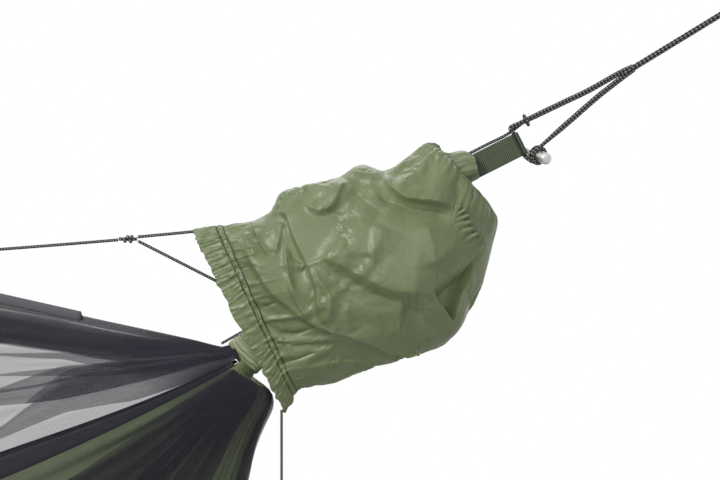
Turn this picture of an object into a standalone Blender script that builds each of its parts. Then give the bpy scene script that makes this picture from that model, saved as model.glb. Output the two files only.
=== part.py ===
"""Camping hammock with a built-in insect net, hung level between two anchor rings.

Metres, +Z up. The hammock runs along X, and the origin is the centre of the near anchor ring, so
everything else lies towards -X. The near end carries the stow sleeve, and the far end is the near
end's mirror image without it. The front is towards -Y.
"""

from math import asin, cos, exp, log, pi, radians, sin, tan

import bmesh
import bpy
import numpy as np
from mathutils import Matrix

# Cloth and the room between pieces
FABRIC = 0.0012             # nylon and net
GAP = 0.0003                # between pieces that touch
SEWN_GAP = 0.0008           # between the cut edges of pieces that are sewn together

# Anchor rings and suspension ropes
RING_RADIUS = 0.020         # to the middle of the wire
RING_WIRE = 0.005
ROPE = 0.0065
ROPE_TILT = radians(31.4)
ROPE_RUN = 0.2315           # ring centre to the throat of the toggle's eye
ANCHOR_EYE = 0.064          # ring centre to the throat of the anchor's eye
EYE_SLACK = 0.0025          # between the anchor's eye and the sides of the ring's wire
EYE_BEND = 0.9              # length of the eye's bend for its half width
SPLICE = 0.030              # the rope's swelling behind the anchor's eye
SPLICE_BREADTH = 2.12       # of the rope's own diameter
SPLICE_HEIGHT = 1.05
LEG = 0.0062                # either leg of an eye in the rope
STRAND = 0.0048             # the rope where it is drawn round the toggle
STRAND_CLEARANCE = 0.0004
STRAND_OVER_EDGE = 0.0067   # upper leg's middle above the webbing's upper edge
STRAND_TURNS_AT = 0.011     # from that corner back along the leg
LEG_NARROWS_AT = 0.035
EYE_TILT = radians(33.9)
EYE_RUN = 0.1332            # throat to the webbing's fold
THROAT_SPREAD = 0.0012
THROAT_LAP = 0.010          # either leg's start inside the single rope
THROAT_TURN = 0.006         # from the throat to where a leg has left the rope

# Toggles
TOGGLE = 0.012
TOGGLE_LENGTH = 0.044
TOGGLE_CHAMFER = 0.0008
TOGGLE_AXIS = (0.497, -0.819, -0.287)
TOGGLE_CLEARANCE = 0.0004
TOGGLE_BELOW = 0.0040       # webbing's lower edge to the toggle's middle
STRAND_EYES = (0.0032, 0.0074)   # from the toggle's middle to the two eyes on it
EYE_STRAND = 0.0038         # the rope drawn tight in those eyes

# Webbing loops
WEBBING = 0.025
WEBBING_THICK = 0.0015
WEBBING_TILT = radians(26.8)
WEBBING_FALL = radians(41.75)
WEBBING_STRAIGHT = 0.098    # fold to bend
WEBBING_RUN = 0.2520        # bend to the turn in the end channel
WEBBING_BEND = 0.020        # each side of the bend, where the strap's tilt changes
WEBBING_LEAN = 0.004        # how far the fold stands forward
FOLD_STARTS = 0.004         # from the fold's middle to where the layers run straight
LAYERS_MEET = 0.050         # from the fold to where the layers lie together
LAYERS_PART = 0.090         # from the turn to where they part
LAYER_GAP = 0.0006

# End channels
CHANNEL_TURN = 0.0145       # radius of the webbing's turn
CHANNEL_WALL = 0.0030
CHANNEL_CLEARANCE = 0.0014
CHANNEL_EDGE_ROOM = 0.0031  # beyond the webbing's edges
CHANNEL_ARM = 0.022
SHIRRS = 9
SHIRR_DEPTH = 0.0008

# Gather, bed and net
HALF_SPAN = 1.147           # gather to the middle of the hammock
GATHER_RADIUS = 0.0235
GATHER_OFFSET = 0.0045      # channel to the gathered cloth
EDGE_HALF_WIDTH = 0.360
EDGE_DROP = 0.690           # anchors to the bed's edge at the middle
BELLY_DROP = 1.060          # anchors to the bed's lowest point
BELLY_FULLNESS = 0.6
END_BULGE = 0.020
END_BULGE_ANGLE = radians(1.6)
SIDE_PANEL = radians(56)    # share of the bed's section that a side panel takes
BED_FOLDS = 3
BED_FOLD_DEPTH = 0.011
NET_SLOPE = 0.225
NET_TURN = 0.006            # softness of the ridge's turn under the cord
NET_GATHER = 0.04           # share of the way to the middle where the gather's round shape ends
NET_SAG = 0.025
NET_FOLDS = 3
NET_FOLD_DEPTH = 0.013
NET_MARGIN = 0.010          # kept flat for the tapes
FOLDS_DEEPEST = 0.12        # as a share of the way to the middle
FOLD_STEEPNESS = 0.55       # deepest fold for its width
STATIONS = 10
STATION_SPREAD = 1.7        # 1 is even, more is closer together at the gather
SHORT_WAY = 0.02            # share that a direction along the cloth is measured over

# Ridge cord and what hangs on it
RIDGE = 0.0033
KNOT_X = -0.7145
KNOT_DROP = 0.2933
RIDGE_END_SLOPE = radians(4.9)
KNOT_HALF_LENGTH = 0.0095
KNOT_RADIUS = 0.0048
LEGS_APART = 0.0022         # each leg from the knot's middle
LEG_ASIDE = 0.0058          # ridge leg behind the fold's middle
LOOP_CLEARANCE = 0.0007
LAYERS_SLOPE = 0.0010       # more room where the webbing's layers part
LEG_EYE_AT = 0.026          # from the fold to the leg's eye on the rope
LEG_OVER_EDGE = ((0.080, 0.0015), (0.055, 0), (0.030, 0), (0.006, 0))   # from the fold, and extra room
LEG_IN_SLEEVE = ((0, 0.1030), (0.030, 0.0925), (0.076, 0.0765), (0.150, 0.0660), (0.195, 0.0575))
HANGER_DROP = 0.014
HANGER_CORD = 0.0020
HANGERS = 5
HANGER_SPACING = 0.300
HANGER_HALF_WIDTH = 0.0034
RIDGE_TAPE = 0.008          # each side of the ridge
RIDGE_TAPE_RISE = 0.0036    # fold of the tape above the net's ridge
RIDGE_TAPE_LIFT = 0.0021    # sides of the tape above the net
RIDGE_TAPE_FROM = 3         # station that the tape starts at
LOWER_LEG_AT = 0.042        # from the webbing's turn
NET_TIE_AT = 0.030
NET_TIE = 0.0030
NET_TIE_LIFT = 0.0035       # its start above the net's first point

# Edge tapes and entry zip
FRONT_TAPE = 0.028
BACK_TAPE = 0.016
TAPE_AT_GATHER = 0.005
TAPE_FULL_AT = 0.25
ZIP_HALF_ANGLE = radians(24)
COIL = 0.0050
COIL_HEIGHT = 0.0025
STOP_LENGTH = 0.006
STOP_WIDER = 0.0012         # each side of the coil
STOP_HIGHER = 0.0008
STOP_ROOM = 0.002           # between the slider and a stop
SLIDER_LENGTH = 0.014
SLIDER_WALL = 0.0014
SLIDER_CLEARANCE = 0.0006
EAR_HEIGHT = 0.0050
EAR_THICK = 0.0014
EAR_HALF_LENGTH = 0.0023
EAR_OVER_PIN = 0.0020       # pin's middle to the ear's top
EAR_ROOT = 0.0004           # sunk into the slider's crown
PULL_PIN = 0.0018
PULL_CLEARANCE = 0.0003
PULL_WALL = 0.0012
PULL_WIDTH = 0.0064
PULL_LENGTH = 0.026
PULL_DROP = 0.0023          # pin's middle to the tab's lower face

# Stow sleeve, across its length: share of the way from the mouth, size there
SLEEVE_LENGTH = 0.290
SLEEVE_WALL = 0.0012
HEM_WALL = 0.0018
MOUTH_HEM = 0.030
NECK_HEM = 0.019
NECK_FROM_FOLD = 0.0523
NECK_ASIDE = 0.0315         # neck's middle above the mouth's
SLEEVE_TOP = ((0, 0.108), (0.10, 0.100), (0.26, 0.084), (0.36, 0.099), (0.55, 0.085), (0.69, 0.068),
              (0.80, 0.071), (0.87, 0.074), (0.935, 0.056), (1, 0.0515))
SLEEVE_BOTTOM = ((0, 0.106), (0.10, 0.092), (0.26, 0.103), (0.40, 0.110), (0.55, 0.122), (0.69, 0.115),
                 (0.80, 0.080), (0.87, 0.048), (0.935, 0.024), (1, -0.0125))
SLEEVE_DEPTH = ((0, 0.031), (0.26, 0.042), (0.50, 0.052), (0.70, 0.049), (0.85, 0.036), (0.935, 0.018),
                (1, 0.0105))
TAIL_CORD = 0.0028
TAIL_LENGTH = 0.250
TAIL_AT = (0.1035, -0.006)  # across the mouth, and forward
TAIL_KNOT = 0.0045
TAIL_KNOT_SHAPE = ((-1.25, 0.4), (-0.8, 0.85), (0, 1), (0.8, 0.85), (1.25, 0.4))
RIDGE_KNOT_SHAPE = ((-1, 0.45), (-0.7, 0.85), (-0.3, 1), (0, 0.88), (0.4, 1), (0.75, 0.85), (1, 0.45))

X, Y, Z = np.eye(3)


def unit(v):
    v = np.asarray(v, float)
    return v / np.linalg.norm(v)


def down_at(tilt):
    """Unit vector from the near anchor towards the hammock, falling at tilt."""
    return np.array([-cos(tilt), 0, -sin(tilt)])


def below(tilt):
    """Unit vector square to down_at(tilt), on its lower side."""
    return np.array([sin(tilt), 0, -cos(tilt)])


def ramp(value, start, end):
    """0 before start, 1 after end, smooth between."""
    share = min(max((value - start) / (end - start), 0), 1)
    return share * share * (3 - 2 * share)


def hex_to_linear(code):
    channels = [int(code[i:i + 2], 16) / 255 for i in (0, 2, 4)]
    return [c / 12.92 if c <= 0.04045 else ((c + 0.055) / 1.055) ** 2.4 for c in channels]


# Materials: name, colour, roughness, metallic
BRAID = ("black_braid", "33332f", 0.80, 0)
STRAP = ("green_webbing", "4c5f3c", 0.85, 0)
NYLON = ("green_nylon", "788c5a", 0.50, 0)
PALE_NYLON = ("pale_green_nylon", "93a672", 0.55, 0)
MESH = ("black_net", "35333d", 0.90, 0)
TAPE = ("black_tape", "2a2a2c", 0.80, 0)
ZIP_NYLON = ("zip_nylon", "232325", 0.60, 0)
STEEL = ("polished_steel", "b9b8b4", 0.30, 1)
ALUMINIUM = ("turned_aluminium", "c2c0bb", 0.35, 1)


def material(name, code, roughness, metallic):
    made = bpy.data.materials.get(name)
    if made is None:
        made = bpy.data.materials.new(name)
        made.use_nodes = True
        shader = made.node_tree.nodes["Principled BSDF"]
        shader.inputs["Base Color"].default_value = (*hex_to_linear(code), 1)
        shader.inputs["Roughness"].default_value = roughness
        shader.inputs["Metallic"].default_value = metallic
    return made


def place(name, data, finish):
    data.materials.append(material(*finish))
    made = bpy.data.objects.new(name, data)
    bpy.context.scene.collection.objects.link(made)
    return made


def solid(name, points, faces, finish, origin=(0, 0, 0), sharp=40):
    """One closed mesh with its faces turned outwards, and its object's origin where it turns."""
    mesh = bpy.data.meshes.new(name)
    mesh.from_pydata([tuple(p) for p in points], [], faces)
    work = bmesh.new()
    work.from_mesh(mesh)
    bmesh.ops.recalc_face_normals(work, faces=work.faces)
    work.to_mesh(mesh)
    work.free()
    mesh.shade_smooth()
    mesh.set_sharp_from_angle(angle=radians(sharp))
    mesh.transform(Matrix.Translation([-c for c in origin]))
    made = place(name, mesh, finish)
    made.location = origin
    return made


def loft(name, rings, finish, closed=False, **how):
    """Rings of points joined one to the next, with flat ends unless they close on themselves."""
    count, total = len(rings[0]), len(rings)
    faces = []
    for i in range(total if closed else total - 1):
        a, b = i * count, (i + 1) % total * count
        for j in range(count):
            k = (j + 1) % count
            faces.append((a + j, a + k, b + k, b + j))
    if not closed:
        faces.append(tuple(range(count)))
        faces.append(tuple(range((total - 1) * count, total * count)))
    return solid(name, np.concatenate(rings), faces, finish, **how)


def shell(name, outer, inner, finish, **how):
    """A tube with a wall, open at both ends."""
    return loft(name, list(outer) + list(inner)[::-1], finish, closed=True, **how)


def cloth(name, grid, finish):
    """A sheet of even thickness on both sides of a grid of points, creased across its columns."""
    along = np.gradient(grid, axis=0)
    across = np.gradient(grid, axis=1)
    normal = np.cross(along, across)
    normal /= np.linalg.norm(normal, axis=2, keepdims=True)
    steps = np.linalg.norm(np.diff(grid, axis=1), axis=2)
    beside = np.concatenate([steps[:, :1], (steps[:, 1:] + steps[:, :-1]) / 2, steps[:, -1:]], axis=1)
    lift = normal * (FABRIC / 2 * beside / np.linalg.norm(across, axis=2))[..., None]
    rows, columns = grid.shape[:2]
    half = rows * columns
    points = np.concatenate([(grid + lift).reshape(-1, 3), (grid - lift).reshape(-1, 3)])
    faces = []
    for i in range(rows - 1):
        for j in range(columns - 1):
            a = i * columns + j
            b, c, d = a + 1, a + columns + 1, a + columns
            first_shorter = np.linalg.norm(points[a] - points[c]) < np.linalg.norm(points[b] - points[d])
            for corners in ((a, b, c), (a, c, d)) if first_shorter else ((a, b, d), (b, c, d)):
                faces += [corners, tuple(half + k for k in reversed(corners))]
    border = [j for j in range(columns)]
    border += [i * columns + columns - 1 for i in range(1, rows)]
    border += [(rows - 1) * columns + j for j in range(columns - 2, -1, -1)]
    border += [i * columns for i in range(rows - 2, 0, -1)]
    for a, b in zip(border, border[1:] + border[:1]):
        faces.append((a, b, half + b, half + a))
    return solid(name, points, faces, finish, sharp=60)


def tube_rings(path, diameters, up, sides=8, closed=False):
    """Rings of a round strand along a path; up is any direction that the path never takes."""
    path = np.asarray(path, float)
    if closed:
        tangents = np.roll(path, -1, axis=0) - np.roll(path, 1, axis=0)
    else:
        tangents = np.gradient(path, axis=0)
    diameters = np.broadcast_to(diameters, len(path))
    rings = []
    for centre, tangent, diameter in zip(path, tangents, diameters):
        side = unit(np.cross(tangent, up))
        high = unit(np.cross(side, tangent))
        turns = [2 * pi * k / sides for k in range(sides)]
        rings.append([centre + diameter / 2 * (cos(a) * side + sin(a) * high) for a in turns])
    return rings


def strand(name, path, diameters, up, finish=BRAID, sides=8, closed=False):
    return loft(name, tube_rings(path, diameters, up, sides, closed), finish, closed=closed, sharp=60)


def smooth_route(points, spacing):
    """Evenly spaced points on a smooth curve through the given ones."""
    given = [np.asarray(p, float) for p in points]
    points = [given[0]]
    for a, b in zip(given, given[1:]):
        pieces = int(np.linalg.norm(b - a) / 0.030) + 1
        points += [a + (b - a) * k / pieces for k in range(1, pieces + 1)]
    ends = [2 * points[0] - points[1]] + points + [2 * points[-1] - points[-2]]
    fine = []
    for before, a, b, after in zip(ends, ends[1:], ends[2:], ends[3:]):
        for share in np.linspace(0, 1, 24, endpoint=False):
            s2, s3 = share ** 2, share ** 3
            fine.append(0.5 * (2 * a + (b - before) * share + (2 * before - 5 * a + 4 * b - after) * s2
                               + (3 * a - before - 3 * b + after) * s3))
    fine = np.array(fine + [points[-1]])
    run = np.concatenate([[0], np.cumsum(np.linalg.norm(np.diff(fine, axis=0), axis=1))])
    count = max(3, int(round(run[-1] / spacing)) + 1)
    marks = np.linspace(0, run[-1], count)
    return np.column_stack([np.interp(marks, run, fine[:, axis]) for axis in range(3)])


def cord(name, route, diameter):
    """A cord along a route, as a curve with a round section and filled ends."""
    curve = bpy.data.curves.new(name, "CURVE")
    curve.dimensions = "3D"
    curve.bevel_depth = diameter / 2
    curve.bevel_resolution = 2
    curve.use_fill_caps = True
    spline = curve.splines.new("POLY")
    spline.points.add(len(route) - 1)
    for point, where in zip(spline.points, route):
        point.co = (*where, 1)
    return place(name, curve, BRAID)


def turned(name, profile, centre, axis, finish, sides=16, **how):
    """A solid of revolution; profile is (distance along the axis, radius), from one end to the other."""
    axis = unit(axis)
    side = unit(np.cross(axis, Z if abs(axis[2]) < 0.9 else X))
    high = np.cross(axis, side)
    turns = [2 * pi * k / sides for k in range(sides)]
    rings = [[np.asarray(centre) + along * axis + radius * (cos(a) * side + sin(a) * high) for a in turns]
             for along, radius in profile]
    return loft(name, rings, finish, **how)


def joined(name, first, *others):
    """One solid from overlapping ones."""
    first.name = name
    for other in others:
        other.hide_render = True
        other.display_type = "WIRE"
        union = first.modifiers.new(other.name, "BOOLEAN")
        union.operation = "UNION"
        union.solver = "EXACT"
        union.object = other
    return first


# Where things are at the near end

ROPE_DOWN, EYE_DOWN = down_at(ROPE_TILT), down_at(EYE_TILT)
WEB_DOWN, WEB_BELOW = down_at(WEBBING_TILT), below(WEBBING_TILT)
FALL_DOWN, FALL_BELOW = down_at(WEBBING_FALL), below(WEBBING_FALL)
THROAT = ROPE_RUN * ROPE_DOWN
FOLD = THROAT + EYE_RUN * EYE_DOWN
BEND = FOLD + WEBBING_STRAIGHT * WEB_DOWN
TURN = BEND + WEBBING_RUN * FALL_DOWN
FOLD_RADIUS = STRAND / 2 + STRAND_CLEARANCE + WEBBING_THICK / 2
CHANNEL_HALF_THICK = WEBBING_THICK / 2 + CHANNEL_CLEARANCE + CHANNEL_WALL
GATHER = TURN + (CHANNEL_TURN + CHANNEL_HALF_THICK + GATHER_OFFSET) * FALL_DOWN
MIDDLE_X = GATHER[0] - HALF_SPAN
NET_START = GATHER - GATHER_RADIUS * FALL_BELOW
BED_START = GATHER + GATHER_RADIUS * FALL_BELOW
NECK = FOLD + NECK_FROM_FOLD * WEB_DOWN
MOUTH = NECK + SLEEVE_LENGTH * WEB_DOWN + NECK_ASIDE * WEB_BELOW
KNOT = np.array([KNOT_X, 0, -KNOT_DROP])
ENDS = ("near", "far")


def at(end, points):
    """Points of the near end, or their mirror image at the far end."""
    points = np.array(points, float)
    if end == "far":
        points[..., 0] = 2 * MIDDLE_X - points[..., 0]
    return points


def mirrored(end, direction):
    return at(end, direction) - at(end, np.zeros(3))


# Anchor rings

def anchor_ring(end):
    turns = [2 * pi * k / 20 for k in range(20)]
    path = [RING_RADIUS * (cos(a) * X + sin(a) * Z) for a in turns]
    strand(f"{end}_anchor_ring", at(end, path), RING_WIRE, Y, finish=STEEL, closed=True)


# Suspension ropes

def anchor_eye_path():
    """Through the anchor ring and back, from beside the throat to beside the throat."""
    bend = RING_WIRE / 2 + EYE_SLACK + ROPE / 2
    reach = RING_RADIUS - RING_WIRE / 2 - ROPE / 2 - 2 * GAP
    beside = ROPE / 2 + GAP
    half = []
    straight = reach + EYE_BEND * bend
    for share in (1, 0.6, 0.2):
        half.append((straight + share * (ANCHOR_EYE - straight), bend + (beside - bend) * share))
    for turn in np.linspace(pi / 2, 0, 5)[:-1]:
        half.append((reach + (1 - cos(turn)) * EYE_BEND * bend, sin(turn) * bend))
    path = [along * ROPE_DOWN + aside * Y for along, aside in half]
    return path + [reach * ROPE_DOWN] + [along * ROPE_DOWN - aside * Y for along, aside in reversed(half)]


def rope_rings():
    """Single rope, wide where the anchor's eye is spliced into it."""
    rings = []
    runs = [ANCHOR_EYE + share * SPLICE for share in (-0.3, 0, 1 / 3, 2 / 3, 1)]
    for run in runs + [ROPE_RUN - 2 * SPLICE, ROPE_RUN]:
        swelling = 1 - ramp(run, ANCHOR_EYE, ANCHOR_EYE + SPLICE)
        wide = 1 + (SPLICE_BREADTH - 1) * swelling
        high = 1 + (SPLICE_HEIGHT - 1) * swelling
        turns = [2 * pi * k / 8 for k in range(8)]
        rings.append([run * ROPE_DOWN + ROPE / 2 * (wide * cos(a) * Y + high * sin(a) * below(ROPE_TILT))
                      for a in turns])
    return rings


def toggle_middle():
    along = FOLD_RADIUS + WEBBING_THICK / 2 + TOGGLE / 2
    return FOLD - along * WEB_DOWN + (WEBBING / 2 + TOGGLE_BELOW) * WEB_BELOW - WEBBING_LEAN / 2 * Y


def strand_eye(name, end, offset):
    """The rope's end turned round the toggle."""
    axis = unit(TOGGLE_AXIS)
    side = unit(np.cross(axis, Y))
    high = np.cross(axis, side)
    count = 12
    radius = (TOGGLE / 2 + TOGGLE_CLEARANCE) / cos(pi / count) + EYE_STRAND / 2
    centre = toggle_middle() + offset * axis
    turns = [2 * pi * k / count for k in range(count)]
    path = [centre + radius * (cos(a) * side + sin(a) * high) for a in turns]
    return strand(name, at(end, path), EYE_STRAND, mirrored(end, axis), sides=6, closed=True)


def toward_eye(offset, reach):
    """The point of a strand eye that lies furthest in a direction from the toggle."""
    axis = unit(TOGGLE_AXIS)
    reach = unit(reach - np.dot(reach, axis) * axis)
    return toggle_middle() + offset * axis + (TOGGLE / 2 + TOGGLE_CLEARANCE + EYE_STRAND / 2) * reach


def upper_strand():
    """The rope's upper leg from the throat, and on through the webbing's fold to the toggle."""
    middle = FOLD - WEBBING_LEAN * Y
    corner = middle - (WEBBING / 2 + STRAND_OVER_EDGE) * WEB_BELOW
    leg_down = unit(corner - THROAT)
    to_lower_edge = middle + WEBBING * WEB_BELOW - toggle_middle()
    straight = smooth_route([THROAT - THROAT_LAP * ROPE_DOWN - THROAT_SPREAD * below(ROPE_TILT),
                             THROAT + THROAT_TURN * leg_down - 2 * THROAT_SPREAD * below(ROPE_TILT),
                             corner - LEG_NARROWS_AT * leg_down], 6 * STRAND)
    bent = smooth_route([corner - LEG_NARROWS_AT * leg_down,
                         corner - STRAND_TURNS_AT * leg_down,
                         corner,
                         corner + 1.25 * STRAND * WEB_BELOW,
                         middle,
                         middle + (WEBBING / 2 + STRAND / 5) * WEB_BELOW,
                         toward_eye(STRAND_EYES[0], to_lower_edge)], 1.15 * STRAND)
    return np.concatenate([straight[:-1], bent])


def suspension_rope(end):
    """Anchor's eye, single rope, and the toggle's eye with its upper strand through the fold."""
    rope = loft(f"{end}_suspension_rope", [at(end, ring) for ring in rope_rings()], BRAID, sharp=60)
    anchor_eye = strand(f"{end}_anchor_eye", at(end, anchor_eye_path()), LEG,
                        mirrored(end, below(ROPE_TILT)), sides=6)
    upper = upper_strand()
    left = np.linalg.norm(upper - FOLD, axis=1)
    over_edge = WEBBING / 2 + STRAND_OVER_EDGE
    widths = [STRAND + (LEG - STRAND) * ramp(far, over_edge, over_edge + STRAND_TURNS_AT)
              if k < np.argmin(left) else STRAND for k, far in enumerate(left)]
    widths[-1] = EYE_STRAND
    upper_leg = strand(f"{end}_upper_strand", at(end, upper), widths, Y, sides=6)
    target = toward_eye(STRAND_EYES[1], -Y)
    lower = smooth_route([THROAT - THROAT_LAP * ROPE_DOWN + THROAT_SPREAD * below(ROPE_TILT),
                          THROAT + THROAT_TURN * EYE_DOWN + 2 * THROAT_SPREAD * below(ROPE_TILT),
                          target + LEG_NARROWS_AT * unit(THROAT - target),
                          target], 5 * STRAND)
    left = np.linalg.norm(lower - target, axis=1)
    widths = [EYE_STRAND + (LEG - EYE_STRAND) * ramp(far, STRAND, STRAND + LEG_NARROWS_AT) for far in left]
    lower_leg = strand(f"{end}_lower_strand", at(end, lower), widths, Y, sides=6)
    eyes = [strand_eye(f"{end}_strand_eye_{k}", end, offset) for k, offset in enumerate(STRAND_EYES)]
    joined(f"{end}_suspension_rope", rope, anchor_eye, upper_leg, lower_leg, *eyes)


# Toggles

def toggle(end):
    half, radius = TOGGLE_LENGTH / 2, TOGGLE / 2
    profile = [(-half, radius - TOGGLE_CHAMFER), (-half + TOGGLE_CHAMFER, radius),
               (half - TOGGLE_CHAMFER, radius), (half, radius - TOGGLE_CHAMFER)]
    centre = toggle_middle()
    turned(f"{end}_toggle", profile, at(end, centre), mirrored(end, unit(TOGGLE_AXIS)), ALUMINIUM,
           origin=at(end, centre))


# Webbing loops

def webbing_station(run):
    """Middle line, lower side and half spread of the two layers at a run from the fold."""
    total = WEBBING_STRAIGHT + WEBBING_RUN
    if run < WEBBING_STRAIGHT:
        middle = FOLD + run * WEB_DOWN
    else:
        middle = BEND + (run - WEBBING_STRAIGHT) * FALL_DOWN
    bent = ramp(run, WEBBING_STRAIGHT - WEBBING_BEND, WEBBING_STRAIGHT + WEBBING_BEND)
    tilt = WEBBING_TILT + (WEBBING_FALL - WEBBING_TILT) * bent
    together = (LAYER_GAP + WEBBING_THICK) / 2
    spread = together + (FOLD_RADIUS - together) * (1 - ramp(run, 0, LAYERS_MEET))
    spread += (CHANNEL_TURN - together) * ramp(run, total - LAYERS_PART, total - CHANNEL_ARM)
    middle = middle - WEBBING_LEAN * (1 - ramp(run, 0, LAYERS_MEET)) * Y
    return middle, below(tilt), spread


def webbing_path():
    """The closed middle line of the strap and its lower side, fold to turn and back."""
    total = WEBBING_STRAIGHT + WEBBING_RUN
    bend_ends = WEBBING_STRAIGHT + 1.3 * WEBBING_BEND
    runs = np.concatenate([np.linspace(FOLD_STARTS, LAYERS_MEET, 6),
                           WEBBING_STRAIGHT + np.linspace(-1.3, 1.3, 5) * WEBBING_BEND,
                           [(bend_ends + total - LAYERS_PART) / 2],
                           np.linspace(total - LAYERS_PART, total - CHANNEL_ARM, 6),
                           np.linspace(total - CHANNEL_ARM, total, 4)[1:-1]])
    stations = [webbing_station(run) for run in runs]
    path = [(middle - spread * Y, side) for middle, side, spread in stations]
    for a in np.linspace(-pi / 2, pi / 2, 11):
        path.append((TURN + CHANNEL_TURN * (cos(a) * FALL_DOWN + sin(a) * Y), FALL_BELOW))
    path += [(middle + spread * Y, side) for middle, side, spread in reversed(stations)]
    for a in np.linspace(pi / 2, -pi / 2, 9):
        path.append((FOLD - WEBBING_LEAN * Y + FOLD_RADIUS * (sin(a) * Y - cos(a) * WEB_DOWN), WEB_BELOW))
    return path


def strap_rings(path, width, thick):
    """Rectangular rings across a closed path, each with its own side direction."""
    points = np.array([p for p, _ in path])
    tangents = np.roll(points, -1, axis=0) - np.roll(points, 1, axis=0)
    rings = []
    for (centre, side), tangent in zip(path, tangents):
        normal = unit(np.cross(side, tangent))
        corners = ((1, 1), (-1, 1), (-1, -1), (1, -1))
        rings.append([centre + a * width / 2 * side + b * thick / 2 * normal for a, b in corners])
    return rings


def webbing_loop(end):
    rings = [at(end, ring) for ring in strap_rings(webbing_path(), WEBBING, WEBBING_THICK)]
    loft(f"{end}_webbing_loop", rings, STRAP, closed=True)


# End channels

def channel_rings(half_width, half_thick, steps, ripple=0.0, sides=12):
    """Flat oval rings along the webbing's turn and the arms on each side of it."""
    arc = pi * CHANNEL_TURN
    rings = []
    for k in range(steps + 1):
        run = (k / steps - 0.5) * (arc + 2 * CHANNEL_ARM)
        if abs(run) <= arc / 2:
            out = cos(run / CHANNEL_TURN) * FALL_DOWN + sin(run / CHANNEL_TURN) * Y
            centre = TURN + CHANNEL_TURN * out
        else:
            out = Y if run > 0 else -Y
            centre = TURN + CHANNEL_TURN * out - (abs(run) - arc / 2) * FALL_DOWN
        swell = ripple * (k % 2)
        wide, thick = half_width + swell, half_thick + swell
        turns = [2 * pi * j / sides for j in range(sides)]
        rings.append([centre + wide * cos(b) * FALL_BELOW + thick * sin(b) * out for b in turns])
    return rings


def end_channel(end):
    """Shirred tunnel of the bed's end, with the webbing through it."""
    inner_width = WEBBING / 2 + CHANNEL_EDGE_ROOM
    inner_thick = WEBBING_THICK / 2 + CHANNEL_CLEARANCE
    wall = CHANNEL_WALL - SHIRR_DEPTH
    outer = channel_rings(inner_width + wall, inner_thick + wall, 2 * SHIRRS, ripple=SHIRR_DEPTH)
    inner = channel_rings(inner_width, inner_thick, 14)
    shell(f"{end}_end_channel", [at(end, r) for r in outer], [at(end, r) for r in inner], PALE_NYLON)


# The bed's edges, each an arc of a circle through both gathers

def edge_arc(side):
    """Centre, radius, direction towards the middle of the arc, and half the arc's angle."""
    start = GATHER + side * GATHER_RADIUS * Y
    middle = np.array([MIDDLE_X, side * EDGE_HALF_WIDTH, -EDGE_DROP])
    drop = middle - start
    drop[0] = 0
    rise = np.linalg.norm(drop)
    down = drop / rise
    radius = (HALF_SPAN ** 2 + rise ** 2) / (2 * rise)
    return middle - radius * down, radius, down, asin(HALF_SPAN / radius)


def edge_point(side, angle, inset=0.0):
    """Point of an edge's arc at an angle from its middle, moved towards the arc's centre."""
    centre, radius, down, _ = edge_arc(side)
    return centre + (radius - inset) * (sin(angle) * X + cos(angle) * down)


def tape_width(side, w):
    full = FRONT_TAPE if side < 0 else BACK_TAPE
    return TAPE_AT_GATHER + (full - TAPE_AT_GATHER) * ramp(w, 0, TAPE_FULL_AT)


def stations(first=0):
    """Shares of the way from the gather to the middle, close together at the gather."""
    return [(i / STATIONS) ** STATION_SPREAD for i in range(first, STATIONS + 1)]


def end_to_end(rows):
    """Rows from the near gather to the middle, and their mirror image to the far gather."""
    rows = np.array(rows)
    return np.concatenate([rows, at("far", rows[:-1])[::-1]])


def fold_depth(w, full, width, folds):
    """Depth of the pleats that fan out from the gather."""
    share = w / FOLDS_DEEPEST
    return min(full * share * exp(1 - share), FOLD_STEEPNESS * width / folds)


def belly(w):
    """The bed's lowest line."""
    angle = w * pi / 2
    bulge = END_BULGE * angle / END_BULGE_ANGLE * exp(1 - angle / END_BULGE_ANGLE)
    x = MIDDLE_X + (BED_START[0] - MIDDLE_X) * max(cos(angle), 0) ** BELLY_FULLNESS + bulge
    return np.array([x, 0, BED_START[2] - (BELLY_DROP + BED_START[2]) * sin(angle)])


def bed_point(w, turn):
    """Point of the bed at a share of the way to the middle; turn is 0 at the front edge, pi at the back."""
    edge = edge_point(-1, edge_arc(-1)[3] * (1 - w), inset=-SEWN_GAP)
    low = belly(w)
    out = edge + (low - edge) * sin(turn)
    return np.array([out[0], edge[1] * cos(turn), out[2]])


def seam_turn(w, turn, hand):
    """Turn of a panel's cut edge, half a sewn gap beside the seam at the given turn."""
    if turn in (0, pi):
        return turn
    pace = np.linalg.norm(bed_point(w, turn + SHORT_WAY) - bed_point(w, turn - SHORT_WAY)) / (2 * SHORT_WAY)
    return turn + hand * SEWN_GAP / 2 / pace


def bed_panel(name, start, end):
    """Part of the bed between two turns of its section, pleated at its ends."""
    columns = 4 * BED_FOLDS
    rows = []
    for w in stations():
        low, high = seam_turn(w, start, 1), seam_turn(w, end, -1)
        turns = [low + (high - low) * j / columns for j in range(columns + 1)]
        points = np.array([bed_point(w, turn) for turn in turns])
        width = np.sum(np.linalg.norm(np.diff(points, axis=0), axis=1))
        depth = fold_depth(w, BED_FOLD_DEPTH, width, BED_FOLDS)
        middle = (start + end) / 2
        onwards = bed_point(w, middle) - bed_point(w - SHORT_WAY, middle) if w > 0.5 else \
            bed_point(w + SHORT_WAY, middle) - bed_point(w, middle)
        normal = np.cross(np.gradient(points, axis=0), onwards)
        normal /= np.linalg.norm(normal, axis=1, keepdims=True)
        wave = np.array([sin(2 * pi * BED_FOLDS * j / columns) for j in range(columns + 1)])
        rows.append(points + normal * (depth * wave)[:, None])
    cloth(name, end_to_end(rows), NYLON)


# Ridge cord and net

def ridge_height(x):
    """The ridge cord sags a little between its knots."""
    run = KNOT_X - MIDDLE_X
    bend = tan(RIDGE_END_SLOPE) / (2 * run)
    return -KNOT_DROP - bend * run ** 2 + bend * (x - MIDDLE_X) ** 2


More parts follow.
